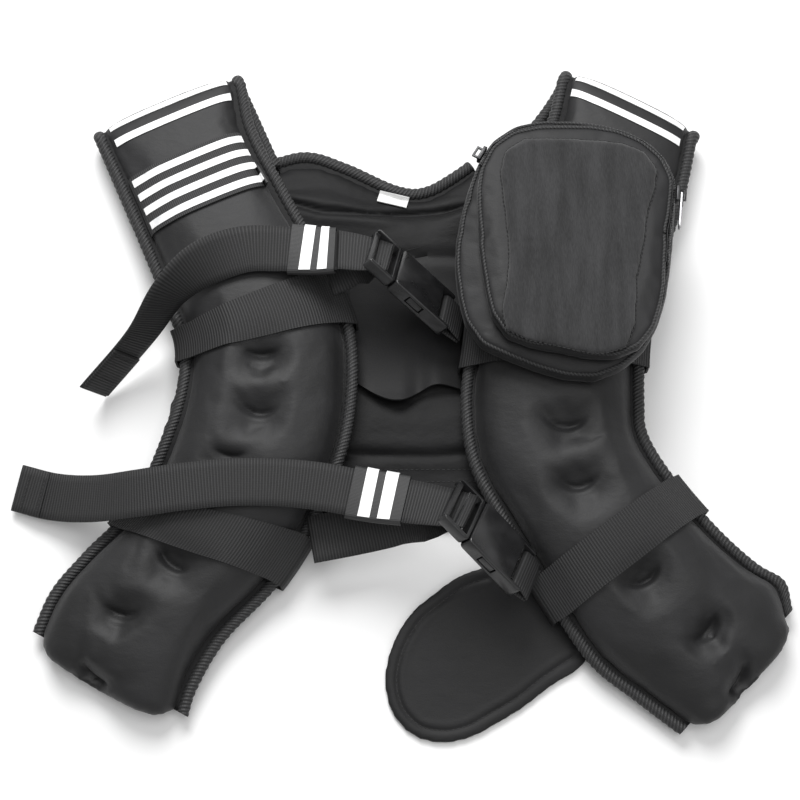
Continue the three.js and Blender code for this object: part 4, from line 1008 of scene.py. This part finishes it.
def band_line(where, skin, bare, half, rim):
    """One closed line of a band: over the panel, down at both sides and back below it."""
    shares = [rim * (2 * k / BAND_PARTS - 1) for k in range(BAND_PARTS + 1)]
    flat = [where(share) for share in shares]
    heights = [below(skin, p.x, p.y) for p in flat]
    heights[0] = max(heights[1:4]) - BAND_DROP
    heights[-1] = max(heights[-4:-1]) - BAND_DROP
    raised = hull_heights([share * half for share in shares], heights)
    top = [Vector((p.x, p.y, z + BAND_CLEAR)) for p, z in zip(flat, raised)]
    lows = []
    for share in (-0.8, 0.0, 0.8):
        spot = where(share)
        hit = bare.ray_cast(Vector((spot.x, spot.y, -20)) * MM, UP)
        lows.append(hit[0].z / MM if hit[0] else 3.0)
    base = max(min(lows) - BAND_UNDER, BAND_LOWEST)
    falls = []
    for corner in (top[-1], top[0]):
        foot = Vector((corner.x, corner.y, base))
        falls.append([corner.lerp(foot, t) for t in (0.3, 0.6, 0.85)])
    under = [where(rim * (1 - k / 4) * 0.985) for k in range(9)]
    under = [Vector((p.x, p.y, base)) for p in under]
    return top + falls[0] + under + falls[1][::-1]


def band(side, stations, panel, node, at, slant):
    """Webbing round a panel, at a share of its run and leaning by slant towards its sides."""
    edges = [bpy.data.objects[f"{side}_{which}_edge"] for which in ("outer", "inner")]
    skin, bare = skin_of(panel, *edges), skin_of(panel)
    step = spacing(stations, 36)
    half = station_at(stations, at * RUN_STEPS)[3]
    rim = 1 + (BINDING_WIDTH + 1.6) / half
    lines = []
    for j in range(BAND_COLUMNS + 1):
        offset = (2 * j / BAND_COLUMNS - 1) * WEBBING_WIDTH / 2 / step

        def where(share, offset=offset):
            inside = min(max(share, -1), 1)
            spot = station_at(stations, at * RUN_STEPS + slant * 3 * inside + offset)
            return spot[0] + spot[1] * share * spot[3]

        lines.append(band_line(where, skin, bare, half, rim))
    grid = [list(row) for row in zip(*lines)]
    middle = [row[BAND_COLUMNS // 2] for row in grid]
    run = distances(middle + [middle[0]])
    wide = [WEBBING_WIDTH * j / BAND_COLUMNS for j in range(BAND_COLUMNS + 1)]
    piece = sheet_piece(f"{node}_webbing", grid, wide, run, BAND_THICKNESS, around=True)
    finish_piece(piece, WEBBING, "webbing", node)


band("right", RIGHT, right_panel, "right_chest_band", at=0.61, slant=0.5)
band("right", RIGHT, right_panel, "right_waist_band", at=0.255, slant=0.55)
band("left", LEFT, left_panel, "left_chest_band", at=0.59, slant=0)
band("left", LEFT, left_panel, "left_waist_band", at=0.255, slant=0.5)
print("bands done")

# %% [markdown]
# ## Neck binding
# The neck of the back panel is edged with the same braid as the front panels. Its line starts at the
# corner of the right panel's return, so that no gap is left between the two edges.

# %% Neck binding
# Place along the neck and its point (side, along)
NECK = [
    (0, -0.33, 0.735), (0.15, -0.25, 0.755), (0.35, -0.15, 0.72), (0.55, -0.01, 0.648),
    (0.75, 0.08, 0.648), (0.9, 0.165, 0.705), (1, 0.21, 0.745),
]
NECK_STEPS = 60
# In millimetres: the braid's place out from the edge and over the floor, and the seam's place
NECK_OUT = 3.0
NECK_RISE = 3.6
NECK_SEAM_IN = 3.5
NECK_SEAM_RISE = 3.2
neck_at = table(NECK)
middle, across, _, half, _ = RIGHT[-1]
corner = middle + across * (half + 5)
neck_line = [Vector((corner.x, corner.y, 0))]
neck_line += [plan(*neck_at(i / NECK_STEPS)) for i in range(NECK_STEPS)]
neck_centres, neck_axes, neck_seam = [], [], []
for before, point, after in zip(neck_line, neck_line[1:], neck_line[2:]):
    outward = UP.cross((after - before).normalized())
    neck_centres.append(point + outward * NECK_OUT + UP * NECK_RISE)
    neck_axes.append((outward, UP))
    neck_seam.append((point - outward * NECK_SEAM_IN + UP * NECK_SEAM_RISE, outward, UP))
neck = tube("neck_edge", neck_centres, neck_axes, 8, BRAID_HEIGHT)
finish_piece(neck, BINDING, "binding", "neck_binding")
seam = strip("neck_seam", neck_seam, SEAM_WIDTH, SEAM_THICKNESS)
finish_piece(seam, BACK_CLOTH, "neoprene")
print("neck edge:", round(distances(neck_centres)[-1]), "mm")

# %% [markdown]
# ## Inner flap
# A loose lining cloth is sewn to the back panel along its top and stands off it below, with a ruffled
# hem. It is one sheet of cloth, so its flat size is measured on the grid before it is thickened.

# %% Inner flap
LINING = neoprene("lining", 0.0055, 0.0105, 0.3, 0.25)
# Place across the flap, side, hem, top and how far the hem stands off
INNER_FLAP = [
    (0, -0.13, 0.08, 0.46, 0.1), (0.22, -0.055, 0.02, 0.46, 0.5), (0.42, 0.0, 0.005, 0.46, 0.7),
    (0.6, 0.045, 0.03, 0.47, 0.35), (0.8, 0.095, 0.055, 0.48, 0.6), (1, 0.155, 0.045, 0.48, 0.2),
]
FLAP_COLUMNS = 60
FLAP_ROWS = 30
FLAP_RISE = 11.5
FLAP_RIPPLE = 0.5
FLAP_CLOTH_THICKNESS = 1.4


def flat_size(grid):
    """Mean width and length and the area of a grid of points in millimetres, in metres."""
    wide = sum(distances(list(column))[-1] for column in zip(*grid)) / len(grid[0])
    long = sum(distances(row)[-1] for row in grid) / len(grid)
    area = 0.0
    for row, after in zip(grid, grid[1:]):
        for a, b, c, d in zip(row, row[1:], after, after[1:]):
            area += ((b - a).cross(c - a).length + (b - d).cross(c - d).length) / 2
    print("flat size:", round(wide, 1), "x", round(long, 1), "mm,", round(area / 100, 1), "cm2")
    return (wide * MM, long * MM), area * MM * MM


flap_at = table(INNER_FLAP)
flap_grid = []
for i in range(FLAP_COLUMNS + 1):
    side, along, top, rise = flap_at(i / FLAP_COLUMNS)
    line = []
    for j in range(FLAP_ROWS + 1):
        down = j / FLAP_ROWS
        point = plan(side, top + (along - top) * down)
        lifted = rise * FLAP_RISE * down**3 + FLAP_RIPPLE * math.sin(i / 4.5) * down
        point.z = below(back_skin, point.x, point.y, 6) + 1.0 + lifted
        line.append(point)
    flap_grid.append(line)
flap_down = [3.4 * j for j in range(FLAP_ROWS + 1)]
flap_across = [1.2 * i for i in range(FLAP_COLUMNS + 1)]
inner = sheet_piece("inner_flap_cloth", flap_grid, flap_down, flap_across, FLAP_CLOTH_THICKNESS, UP)
finish_piece(inner, LINING, "lining", "inner_flap")
size, area = flat_size(flap_grid)

# %% [markdown]
# ## Label
# A small woven label is sewn to the back panel at the neck. It is left blank.

# %% Label
LABEL_LENGTH = 20.4
LABEL_WIDTH = 8.9
LABEL_THICKNESS = 0.6
LABEL_PLACE = plan(-0.018, 0.63)
LABEL_TURN = -14
LABEL_RISE = 1.2
LABEL_ROWS = 8
LABEL_COLUMNS = 4
label_grid = []
for i in range(LABEL_ROWS + 1):
    line = []
    for j in range(LABEL_COLUMNS + 1):
        x = (i / LABEL_ROWS - 0.5) * LABEL_LENGTH
        y = (j / LABEL_COLUMNS - 0.5) * LABEL_WIDTH
        point = LABEL_PLACE + turned(Vector((x, y, 0)), UP, LABEL_TURN)
        point.z = below(back_skin, point.x, point.y, 6) + LABEL_RISE
        line.append(point)
    label_grid.append(line)
label_across = [LABEL_WIDTH * j / LABEL_COLUMNS for j in range(LABEL_COLUMNS + 1)]
label_along = [LABEL_LENGTH * i / LABEL_ROWS for i in range(LABEL_ROWS + 1)]
label = sheet_piece("blank_label", label_grid, label_across, label_along, LABEL_THICKNESS, UP)
finish_piece(label, LABEL, "label", "label")
print("label:", LABEL_LENGTH, "by", LABEL_WIDTH, "mm")

# %% [markdown]
# ## Buckles
# Side-release buckles: a frame with two prongs, clicked into a socket. The solids already have every
# bar, prong and window, so they are cleaned into large faces and their edges rounded like moulding.


# %% Moulded and cast pieces
def moulded(node, name, width, segments):
    """A clean copy of a hard solid with its edges rounded like moulding."""
    piece = copy_solid(node, name)
    focus(piece)
    bpy.ops.object.mode_set(mode="EDIT")
    bpy.ops.mesh.select_all(action="SELECT")
    bpy.ops.mesh.dissolve_limited(angle_limit=math.radians(1.5))
    bpy.ops.object.mode_set(mode="OBJECT")
    rounding = piece.modifiers.new("rounding", "BEVEL")
    rounding.width = width * MM
    rounding.segments = segments
    rounding.limit_method = "ANGLE"
    rounding.angle_limit = math.radians(32)
    rounding.use_clamp_overlap = True
    apply_modifiers(piece)
    focus(piece)
    bpy.ops.object.shade_smooth_by_angle(angle=math.radians(40))
    return piece


for strap in ("chest", "waist"):
    for half in ("frame", "socket"):
        node = f"{strap}_buckle_{half}"
        piece = moulded(node, f"{strap}_{half}_moulding", width=0.5, segments=3)
        finish_piece(piece, PLASTIC, "plastic", node)
        print(node, "rounded:", len(piece.data.polygons), "faces")

# %% [markdown]
# ## Straps
# Each adjusting strap runs from its free end over the panel, turns round the middle bar of the
# buckle and comes back under it. The run is read from a short table, and a smooth curve through its
# stations carries a strip of webbing.

# %% Strap tables
# Place along the strap, middle (side, along), height and roll
CHEST_TAIL = [
    (0, -0.784, 0.035, 0.068, 74), (0.16, -0.655, 0.185, 0.14, 72), (0.3, -0.576, 0.282, 0.235, 58),
    (0.44, -0.5, 0.355, 0.255, 34), (0.58, -0.4, 0.405, 0.24, 8), (0.72, -0.302, 0.41, 0.235, 0),
    (0.84, -0.2, 0.4, 0.245, -12), (1, -0.105, 0.402, 0.262, -24),
]
WAIST_TAIL = [
    (0, -0.972, -0.238, 0.03, 10), (0.1, -0.875, -0.27, 0.06, 6), (0.22, -0.765, -0.287, 0.12, 0),
    (0.33, -0.655, -0.287, 0.19, 0), (0.44, -0.54, -0.274, 0.22, 0), (0.56, -0.42, -0.262, 0.225, 0),
    (0.68, -0.3, -0.262, 0.225, 0), (0.8, -0.18, -0.276, 0.225, 0), (0.9, -0.06, -0.302, 0.225, -8),
    (1, 0.075, -0.327, 0.25, -22),
]
# The end that comes out of the buckle below the tail, in the same columns
CHEST_STAND = [
    (0, -0.115, 0.385, 0.21, -24), (0.5, -0.15, 0.372, 0.182, -10), (1, -0.185, 0.36, 0.162, 0),
]
WAIST_STAND = [
    (0, 0.06, -0.345, 0.18, -20), (0.5, -0.08, -0.375, 0.14, -8), (1, -0.222, -0.405, 0.1215, 4),
]


# %% Stations of a strap
def strap_stations(rows, steps):
    """Middle, across and up along a strap, rolled about its own run."""
    at = table(rows)
    points, rolls = [], []
    for i in range(steps + 1):
        side, along, height, roll = at(i / steps)
        points.append(plan(side, along, height * HALF_LENGTH))
        rolls.append(roll)
    stations = []
    for i, (middle, roll) in enumerate(zip(points, rolls)):
        forward = (points[min(i + 1, steps)] - points[max(i - 1, 0)]).normalized()
        across = turned(UP.cross(forward).normalized(), forward, roll)
        stations.append((middle, across, forward.cross(across)))
    return stations


# %% Turns in a buckle
# Radius of the webbing's turn round a bar, and how far the turn reaches past the bar
BAR_RADIUS = 2.6
BAR_PAST = 2.2


def buckle_frame(side, along, height, turn, dip, roll):
    """Reads stations (x, z, lean) in a buckle's own frame."""
    spin = Matrix.Rotation(math.radians(turn), 3, "Z")
    spin = spin @ Matrix.Rotation(math.radians(dip), 3, "Y")
    spin = spin @ Matrix.Rotation(math.radians(roll), 3, "X")
    origin = plan(side, along, height * HALF_LENGTH)

    def read(rows):
        stations = []
        for x, z, lean in rows:
            angle = math.radians(lean)
            up = spin @ Vector((-math.sin(angle), 0, math.cos(angle)))
            stations.append((origin + spin @ Vector((x, 0, z)), spin @ Vector((0, 1, 0)), up))
        return stations

    return read


def bar_turn(far, out, inward):
    """Round a bar: in over the face, round its far side and out below."""
    start = far + inward * (BAR_PAST - BAR_RADIUS)
    arc = []
    for angle in range(90, -91, -15):
        lean = angle - 90 if inward > 0 else 90 - angle
        x = start + inward * BAR_RADIUS * math.cos(math.radians(angle))
        arc.append((x, BAR_RADIUS * math.sin(math.radians(angle)), lean))
    return [(out, BAR_RADIUS, 0)] + arc + [(out, -BAR_RADIUS, -180 if inward > 0 else 180)]


def eased(stations, parts):
    """Stations on a smooth curve through the given ones."""
    made = []
    last = len(stations) - 1
    for i in range(last):
        keys = [stations[min(max(k, 0), last)] for k in (i - 1, i, i + 1, i + 2)]
        for step in range(parts):
            t = step / parts
            weights = (
                -0.5 * t + t**2 - 0.5 * t**3, 1 - 2.5 * t**2 + 1.5 * t**3,
                0.5 * t + 2 * t**2 - 1.5 * t**3, -0.5 * t**2 + 0.5 * t**3,
            )
            mixed = [sum((key[n] * w for key, w in zip(keys, weights)), Vector()) for n in range(3)]
            up = mixed[2].normalized()
            across = (mixed[1] - up * mixed[1].dot(up)).normalized()
            made.append((mixed[0], across, up))
    return made + [stations[-1]]


chest_read = buckle_frame(-0.073, 0.4, 0.284, turn=-36, dip=29, roll=-44)
waist_read = buckle_frame(0.12, -0.325, 0.315, turn=-42.5, dip=26, roll=-38)
print("buckle frames ready")

# %% Adjusting straps
# Along a buckle in millimetres: the far side of its middle bar, and where the turn starts
MIDDLE_BAR = 12.6
TURN_START = -4
# The tail's last stations lie inside the turn, so they are left out
INSIDE_TURN = 4
HEM_STATIONS = 18
HEM_WIDTH = 29.4
HEM_THICKNESS = 1.1
HEM_RISE = 1.35


def standing(rows):
    """The end that comes out of the buckle, read back along the strap's underside."""
    return [(middle, -across, -up) for middle, across, up in strap_stations(rows, 6)]


TAILS = {"chest": strap_stations(CHEST_TAIL, 54), "waist": strap_stations(WAIST_TAIL, 72)}
for strap, read, rows in [("chest", chest_read, CHEST_STAND), ("waist", waist_read, WAIST_STAND)]:
    turn = read(bar_turn(MIDDLE_BAR, TURN_START, 1))
    path = eased(TAILS[strap][:-INSIDE_TURN] + turn[1:-1] + standing(rows)[1:], 3)
    piece = strip(f"{strap}_webbing", path)
    finish_piece(piece, WEBBING, "webbing", f"{strap}_strap")
    hem = [(middle + up * HEM_RISE, across, up) for middle, across, up in path[1:HEM_STATIONS]]
    hem_piece = strip(f"{strap}_hem", hem, HEM_WIDTH, HEM_THICKNESS)
    finish_piece(hem_piece, WEBBING, "webbing")
    print(strap, "strap:", round(distances([s[0] for s in path])[-1]), "mm")

# %% Load straps
# Along a buckle in millimetres: near side of the socket's bar, start of the turn, socket's end
SOCKET_BAR = 66
SOCKET_TURN = 71.5
SOCKET_END = 70
# Half the distance between the two layers that are sewn together
DOUBLED = 1.05
for strap, read, length in [("chest", chest_read, 12.6), ("waist", waist_read, 8.5)]:
    end = SOCKET_END + length
    turn = bar_turn(SOCKET_BAR, SOCKET_TURN, -1)
    rows = [(end, DOUBLED, 0)] + turn + [(end, -DOUBLED, 180)]
    piece = strip(f"{strap}_load_webbing", eased(read(rows), 3))
    finish_piece(piece, WEBBING, "webbing", f"{strap}_load_strap")
    print(strap, "load strap reaches", end, "mm from the buckle's middle")

# %% [markdown]
# ## Sleeves
# An elastic sleeve on each strap keeps the free end down. It is a flat tube of thin cloth round the
# strap, and two reflective bars are fused to it, wrapped over its lower edge.


# %% Skins round a strap
def between(stations, start, end, count):
    """Evenly spaced stations between two places."""
    places = [start + (end - start) * i / count for i in range(count + 1)]
    return [station_at(stations, place) for place in places]


def wrapped(name, stations, outline, thickness, closed):
    """A skin round a strap: an outline of (across, height) carried along its stations."""
    lines = [[m + a * x + u * z for m, a, u in stations] for x, z in outline]
    round_run = [0.0]
    for (ax, az), (bx, bz) in zip(outline, outline[1:] + outline[:1]):
        round_run.append(round_run[-1] + math.hypot(bx - ax, bz - az))
    along = distances([s[0] for s in stations])
    return sheet_piece(name, lines, along, round_run, thickness, around=closed)


def oval(half, height, steps=6):
    """Outline of a flat tube with round edges."""
    angles = [math.pi * (k / steps - 0.5) for k in range(steps + 1)]
    right = [(half + height * math.cos(a), height * math.sin(a)) for a in angles]
    return right + [(-x, z) for x, z in reversed(right)]


# %% Sleeves and their bars
SLEEVE_LENGTH = 34
BAR_WIDTH = 7.5
BAR_SHARES = (0.34, 0.7)
SLEEVE_STEPS = {"chest": 13.5, "waist": 20.4}
sleeve_skin = oval(14.6, 1.75)
bar_skin = [(x, z) for x, z in oval(14.7, 2.95) if x > 0] + [(-15.2, 2.95)]
for strap, first in SLEEVE_STEPS.items():
    tail = TAILS[strap]
    start = first * 3
    step = spacing(tail, int(start))
    length = SLEEVE_LENGTH / step
    run = between(tail, start, start + length, 18)
    piece = wrapped(f"{strap}_keeper", run, sleeve_skin, 1.0, True)
    finish_piece(piece, SLEEVE, "sleeve", f"{strap}_sleeve")
    for i, share in enumerate(BAR_SHARES):
        centre = start + share * length
        reach = BAR_WIDTH / 2 / step
        run = between(tail, centre - reach, centre + reach, 6)
        bar = wrapped(f"{strap}_keeper_bar_{i + 1}", run, bar_skin, 0.4, False)
        finish_piece(bar, REFLECTIVE, "reflective", f"{strap}_sleeve_bar_{i + 1}")
    print(strap, "sleeve starts at station", start)

# %% [markdown]
# ## Pouch
# Two zipped compartments of thin padded neoprene with a raised brushed face. They are stuffed like
# the panels, but on a finer grid and with less pressure, since their padding is thin foam.

# %% Layers of the pouch
POUCH_CLOTH = neoprene("pouch_cloth", 0.007, 0.0135, 0.45, 0.35)
REAR_FOAM = {"voxel": 2.6, "ease": 6, "pressure": 2.5, "cap": 1.6}
FRONT_FOAM = {"voxel": 2.4, "ease": 6, "pressure": 2.0, "cap": 1.2}
FACE_FOAM = {"voxel": 1.5, "ease": 5, "pressure": 1.0, "cap": 0.5}
rear_pouch = stuffed("pouch_rear", "pouch_rear_cloth", **REAR_FOAM)
front_pouch = stuffed("pouch_front", "pouch_front_cloth", **FRONT_FOAM)
face_pouch = stuffed("pouch_face", "pouch_face_cloth", **FACE_FOAM)
for piece, node, material, slot in [
    (rear_pouch, "pouch_rear", POUCH_CLOTH, "neoprene"),
    (front_pouch, "pouch_front", POUCH_CLOTH, "neoprene"),
    (face_pouch, "pouch_face", BRUSHED, "brushed"),
]:
    finish_piece(piece, material, slot, node)
rear_skin = skin_of(rear_pouch)
front_skin = skin_of(front_pouch)
face_skin = skin_of(face_pouch)

# %% [markdown]
# ## Lines round the pouch
# Zip, tapes, piping and stitches all run round a wall of the pouch at a constant height. The pouch
# leans five degrees, so a bearing and a height in its own plane are looked up on the stuffed skin.

# %% Lines on a wall
POUCH_SPIN = Matrix.Rotation(math.radians(-5), 3, "X")
POUCH_PLACE = Vector((108.1, 91.9, 45.4))
POUCH_UP = POUCH_SPIN @ UP
FAR_OUT = 130
USUAL_REACH = 62


def wall_point(skin, degrees, height):
    """A point on a pouch wall, for a bearing and a height in the pouch's own plane."""
    bearing = math.radians(degrees)
    start = POUCH_PLACE + POUCH_SPIN @ Vector((0, 0, height))
    aim = POUCH_SPIN @ Vector((math.cos(bearing), math.sin(bearing), 0))
    hit = skin.ray_cast((start + aim * FAR_OUT) * MM, -aim)
    return hit[0] / MM if hit[0] else start + aim * USUAL_REACH


def wall_run(skin, first, last, height, off, count):
    """Stations along a wall between two bearings; off is the distance from the skin."""
    bearings = [first + (last - first) * i / count for i in range(count + 1)]
    points = [wall_point(skin, degrees, height) for degrees in bearings]
    stations = []
    for before, point, after in zip(points, points[1:], points[2:]):
        along = (after - before).normalized()
        outward = POUCH_UP.cross(along).normalized()
        outward = outward if outward.dot(point - POUCH_PLACE) > 0 else -outward
        stations.append((point + outward * off, POUCH_UP, outward))
    return stations


# %% [markdown]
# ## Zip
# A coil of teeth between two tapes follows the wall of the front compartment. The coil is one tube
# whose girth swells with every tooth: at this size that reads like teeth, and it stays one mesh. The
# sliders and the puller are castings, so their solids are cleaned and rounded as the buckles are.

# %% Teeth and tapes
COIL_SIDES = 10
ZIP_FIRST = 138
ZIP_LAST = -15


def coil(name, stations, radius, pitch):
    """A tube whose girth swells and shrinks with every tooth."""
    middles = [s[0] for s in stations]
    run = distances(middles)
    count = int(run[-1] / 0.45)
    angles = [2 * math.pi * k / COIL_SIDES for k in range(COIL_SIDES)]
    rings, lengths = [], []
    for i in range(count + 1):
        where = run[-1] * i / count
        index, part = leg_at(run, where)
        middle = middles[index - 1].lerp(middles[index], part)
        _, across, up = stations[index]
        girth = radius * (1 + 0.28 * math.sin(2 * math.pi * where / pitch))
        wide = across * girth * 1.5
        rings.append([middle + wide * math.cos(a) + up * math.sin(a) * girth for a in angles])
        lengths.append(where)
    return swept(name, rings, lengths, [0.7 * k for k in range(COIL_SIDES + 1)])


front_zip = wall_run(front_skin, ZIP_FIRST, ZIP_LAST, height=24.35, off=1.2, count=240)
teeth = coil("zip_teeth", front_zip, radius=1.1, pitch=1.8)
finish_piece(teeth, COIL, "webbing", "zip_track")
for label, height in [("lower", 21.6), ("upper", 27.0)]:
    tape_run = wall_run(front_skin, ZIP_FIRST + 1, ZIP_LAST - 1, height, off=0.5, count=240)
    tape_piece = strip(f"zip_tape_{label}", tape_run, width=4.0, thickness=0.7)
    finish_piece(tape_piece, ELASTIC, "webbing")
print("zip:", round(distances([s[0] for s in front_zip])[-1]), "mm of teeth")

# %% Sliders and puller
for node, name, material, body in [
    ("zip_slider", "slider_casting", DARK_METAL, VEST),
    ("rear_zip_slider", "rear_slider_casting", DARK_METAL, VEST),
    ("zip_puller", "puller_casting", METAL, PULLER),
]:
    piece = moulded(node, name, width=0.25, segments=2)
    finish_piece(piece, material, "metal", node, body)
    print(name, "rides", body)

# %% [markdown]
# ## Stitches
# Thread lies in short bars in a shallow furrow. Each row of stitches is one mesh of small spindles,
# placed along a line that is dropped onto the cloth. A texture could draw them, but real spindles
# catch the light and keep their size on every piece.


# %% Rows of stitches
# Thread of the seams and finer thread of small hems and of the pouch, in millimetres
SEAM_THREAD = {"pitch": 3.4, "length": 2.3, "width": 0.55}
HEM_THREAD = {"pitch": 2.6, "length": 1.9, "width": 0.5}
FACE_THREAD = {"pitch": 3.0, "length": 2.1, "width": 0.5}
THREAD_RISE = 0.15


def spindle(middle, along, across, up, length, width):
    """Four rings of four corners each, thinner at both ends."""
    corners = []
    for end, girth in ((-0.5, 0.35), (-0.3, 1), (0.3, 1), (0.5, 0.35)):
        centre = middle + along * end * length
        for x, z in ((-0.5, 0), (0, 0.5), (0.5, 0), (0, -0.5)):
            corners.append((centre + (across * x + up * z) * width * girth) * MM)
    return corners


def stitch_row(name, points, up, pitch, length, width):
    """Small spindles of thread along a line of points in millimetres."""
    run = distances(points)
    corners, faces = [], []
    for i in range(int(run[-1] / pitch)):
        after, part = leg_at(run, (i + 0.5) * pitch)
        middle = points[after - 1].lerp(points[after], part)
        along = (points[after] - points[after - 1]).normalized()
        across = up.cross(along).normalized()
        base = len(corners)
        corners += spindle(middle, along, across, up, length, width)
        for k in range(3):
            for j in range(4):
                a, b = base + k * 4 + j, base + k * 4 + (j + 1) % 4
                faces.append((a, b, b + 4, a + 4))
        faces.append((base + 3, base + 2, base + 1, base))
        faces.append(tuple(base + 12 + j for j in range(4)))
    uvs = [(0.2, 0.2)] * sum(len(face) for face in faces)
    finish_piece(new_piece(name, corners, faces, uvs), THREAD, None)
    print(name, int(run[-1] / pitch), "stitches")


def dropped(skin, points):
    """The points let down onto the cloth, the thread's own rise above it."""
    return [Vector((p.x, p.y, below(skin, p.x, p.y, p.z) + THREAD_RISE)) for p in points]


# %% Seam of the rear flap
# Outline of the flap's free edge (side, along)
REAR_FLAP = [
    (0.215, -0.463), (0.149, -0.489), (0.082, -0.542), (0.027, -0.595), (-0.016, -0.674),
    (-0.037, -0.76), (-0.033, -0.83), (-0.01, -0.89), (0.04, -0.94), (0.11, -0.955),
    (0.176, -0.94), (0.235, -0.905), (0.306, -0.858), (0.373, -0.8), (0.46, -0.735),
]
FLAP_SEAM_IN = 7.5
keys = [(plan(*row), Vector((1, 0, 0)), UP) for row in REAR_FLAP]
flap_edge = [station[0] for station in eased(keys, 8)]
flap_seam = []
for before, point, after in zip(flap_edge, flap_edge[1:], flap_edge[2:]):
    inward = UP.cross((after - before).normalized())
    flap_seam.append(point + inward * FLAP_SEAM_IN)
furrow(flap, flap_seam, depth=0.9, width=1.3, swell=0.3)
stitch_row("rear_flap_stitches", dropped(skin_of(flap), flap_seam), UP, **SEAM_THREAD)

# %% Stitches of the back panel and the strap ends
for label, along in (("low", -0.225), ("high", -0.19)):
    row = [Vector((x, along * HALF_LENGTH + 0.01 * x, 5)) for x in range(-45, 60, 3)]
    stitch_row(f"back_stitches_{label}", dropped(back_skin, row), UP, **SEAM_THREAD)
for strap, tail in TAILS.items():
    for label, index in (("a", 2), ("b", 5)):
        middle, across, up = tail[index]
        row = [middle + across * x + up * 2.2 for x in range(-13, 14, 2)]
        stitch_row(f"{strap}_hem_stitches_{label}", row, up, **HEM_THREAD)

# %% [markdown]
# ## Piping of the pouch
# A thin round cord is sewn into the rims of both compartments, and a row of stitches holds the
# brushed face. Both follow a wall of the pouch all the way round, a few degrees past their start.

# %% Piping and the stitches of the face
FULL_TURN = 363
PIPING = 2.4


def piping(name, skin, height):
    """A round cord along a rim of the pouch, half sunk into its skin."""
    stations = wall_run(skin, 0, FULL_TURN, height, off=0.2, count=180)
    centres = [s[0] for s in stations]
    axes = [(s[2], s[1]) for s in stations]
    piece = tube(name, centres, axes, PIPING, PIPING, sides=10, pitch=3.0, depth=0.03, spacing=1.5)
    finish_piece(piece, BINDING, "binding")


piping("pouch_front_piping", front_skin, height=29.4)
piping("pouch_rear_piping", rear_skin, height=14.6)
face_run = wall_run(face_skin, 0, FULL_TURN, height=33.4, off=0.6, count=180)
stitch_row("face_stitches", [s[0] for s in face_run], POUCH_UP, **FACE_THREAD)

# %% [markdown]
# ## Camera, floor and light
# The photo looks down steeply from the feet, and its light is broad and soft on a white ground.

# %% Camera
ELEVATION = math.radians(76)
DISTANCE = 1.25
AIM_HEIGHT = 0.025
SENSOR = 36
PHOTO_SIDE = 800
FOCAL_PIXELS = 1937.5
camera_data = bpy.data.cameras.new("camera")
camera_data.sensor_width = SENSOR
camera_data.lens = SENSOR * FOCAL_PIXELS / PHOTO_SIDE
camera_data.clip_start = 0.05
camera_data.clip_end = 20
camera = bpy.data.objects.new("camera", camera_data)
bpy.context.scene.collection.objects.link(camera)
away = -DISTANCE * math.cos(ELEVATION)
camera.location = (0, away, AIM_HEIGHT + DISTANCE * math.sin(ELEVATION))
camera.rotation_euler = (math.pi / 2 - ELEVATION, 0, 0)
bpy.context.scene.camera = camera
print("lens:", round(camera_data.lens, 1), "mm")

# %% Floor
pale_ground = Finish("floor")
pale_ground.colour((0.86, 0.86, 0.86), (0.88, 0.88, 0.88), pale_ground.noise(60, 2))
pale_ground.fix(Roughness=0.9)
bpy.ops.object.select_all(action="DESELECT")
bpy.ops.mesh.primitive_plane_add(size=12, location=(0, 0, -0.0003))
floor = bpy.context.object
floor.name = "floor"
bpy.ops.object.transform_apply(location=True, rotation=False, scale=False)
floor.data.materials.append(pale_ground.material)

# %% Light
world = bpy.data.worlds.new("studio")
world.use_nodes = True
background = world.node_tree.nodes["Background"]
background.inputs["Color"].default_value = (1, 1, 1, 1)
background.inputs["Strength"].default_value = 0.42
bpy.context.scene.world = world


def lamp(name, place, size, power):
    """A round soft light that looks at the middle of the vest."""
    data = bpy.data.lights.new(name, "AREA")
    data.shape = "DISK"
    data.size = size
    data.energy = power
    light = bpy.data.objects.new(name, data)
    light.location = place
    light.rotation_euler = (-Vector(place)).to_track_quat("-Z", "Y").to_euler()
    bpy.context.scene.collection.objects.link(light)


lamp("key", (-0.25, 1.25, 1.4), size=1.1, power=36)
lamp("overhead", (0.3, 0.1, 2.3), size=1.4, power=16)
lamp("fill", (1.3, -0.9, 1.5), size=1.2, power=4)
bpy.context.scene.view_settings.view_transform = "Standard"
print("lights:", len(bpy.data.lights))
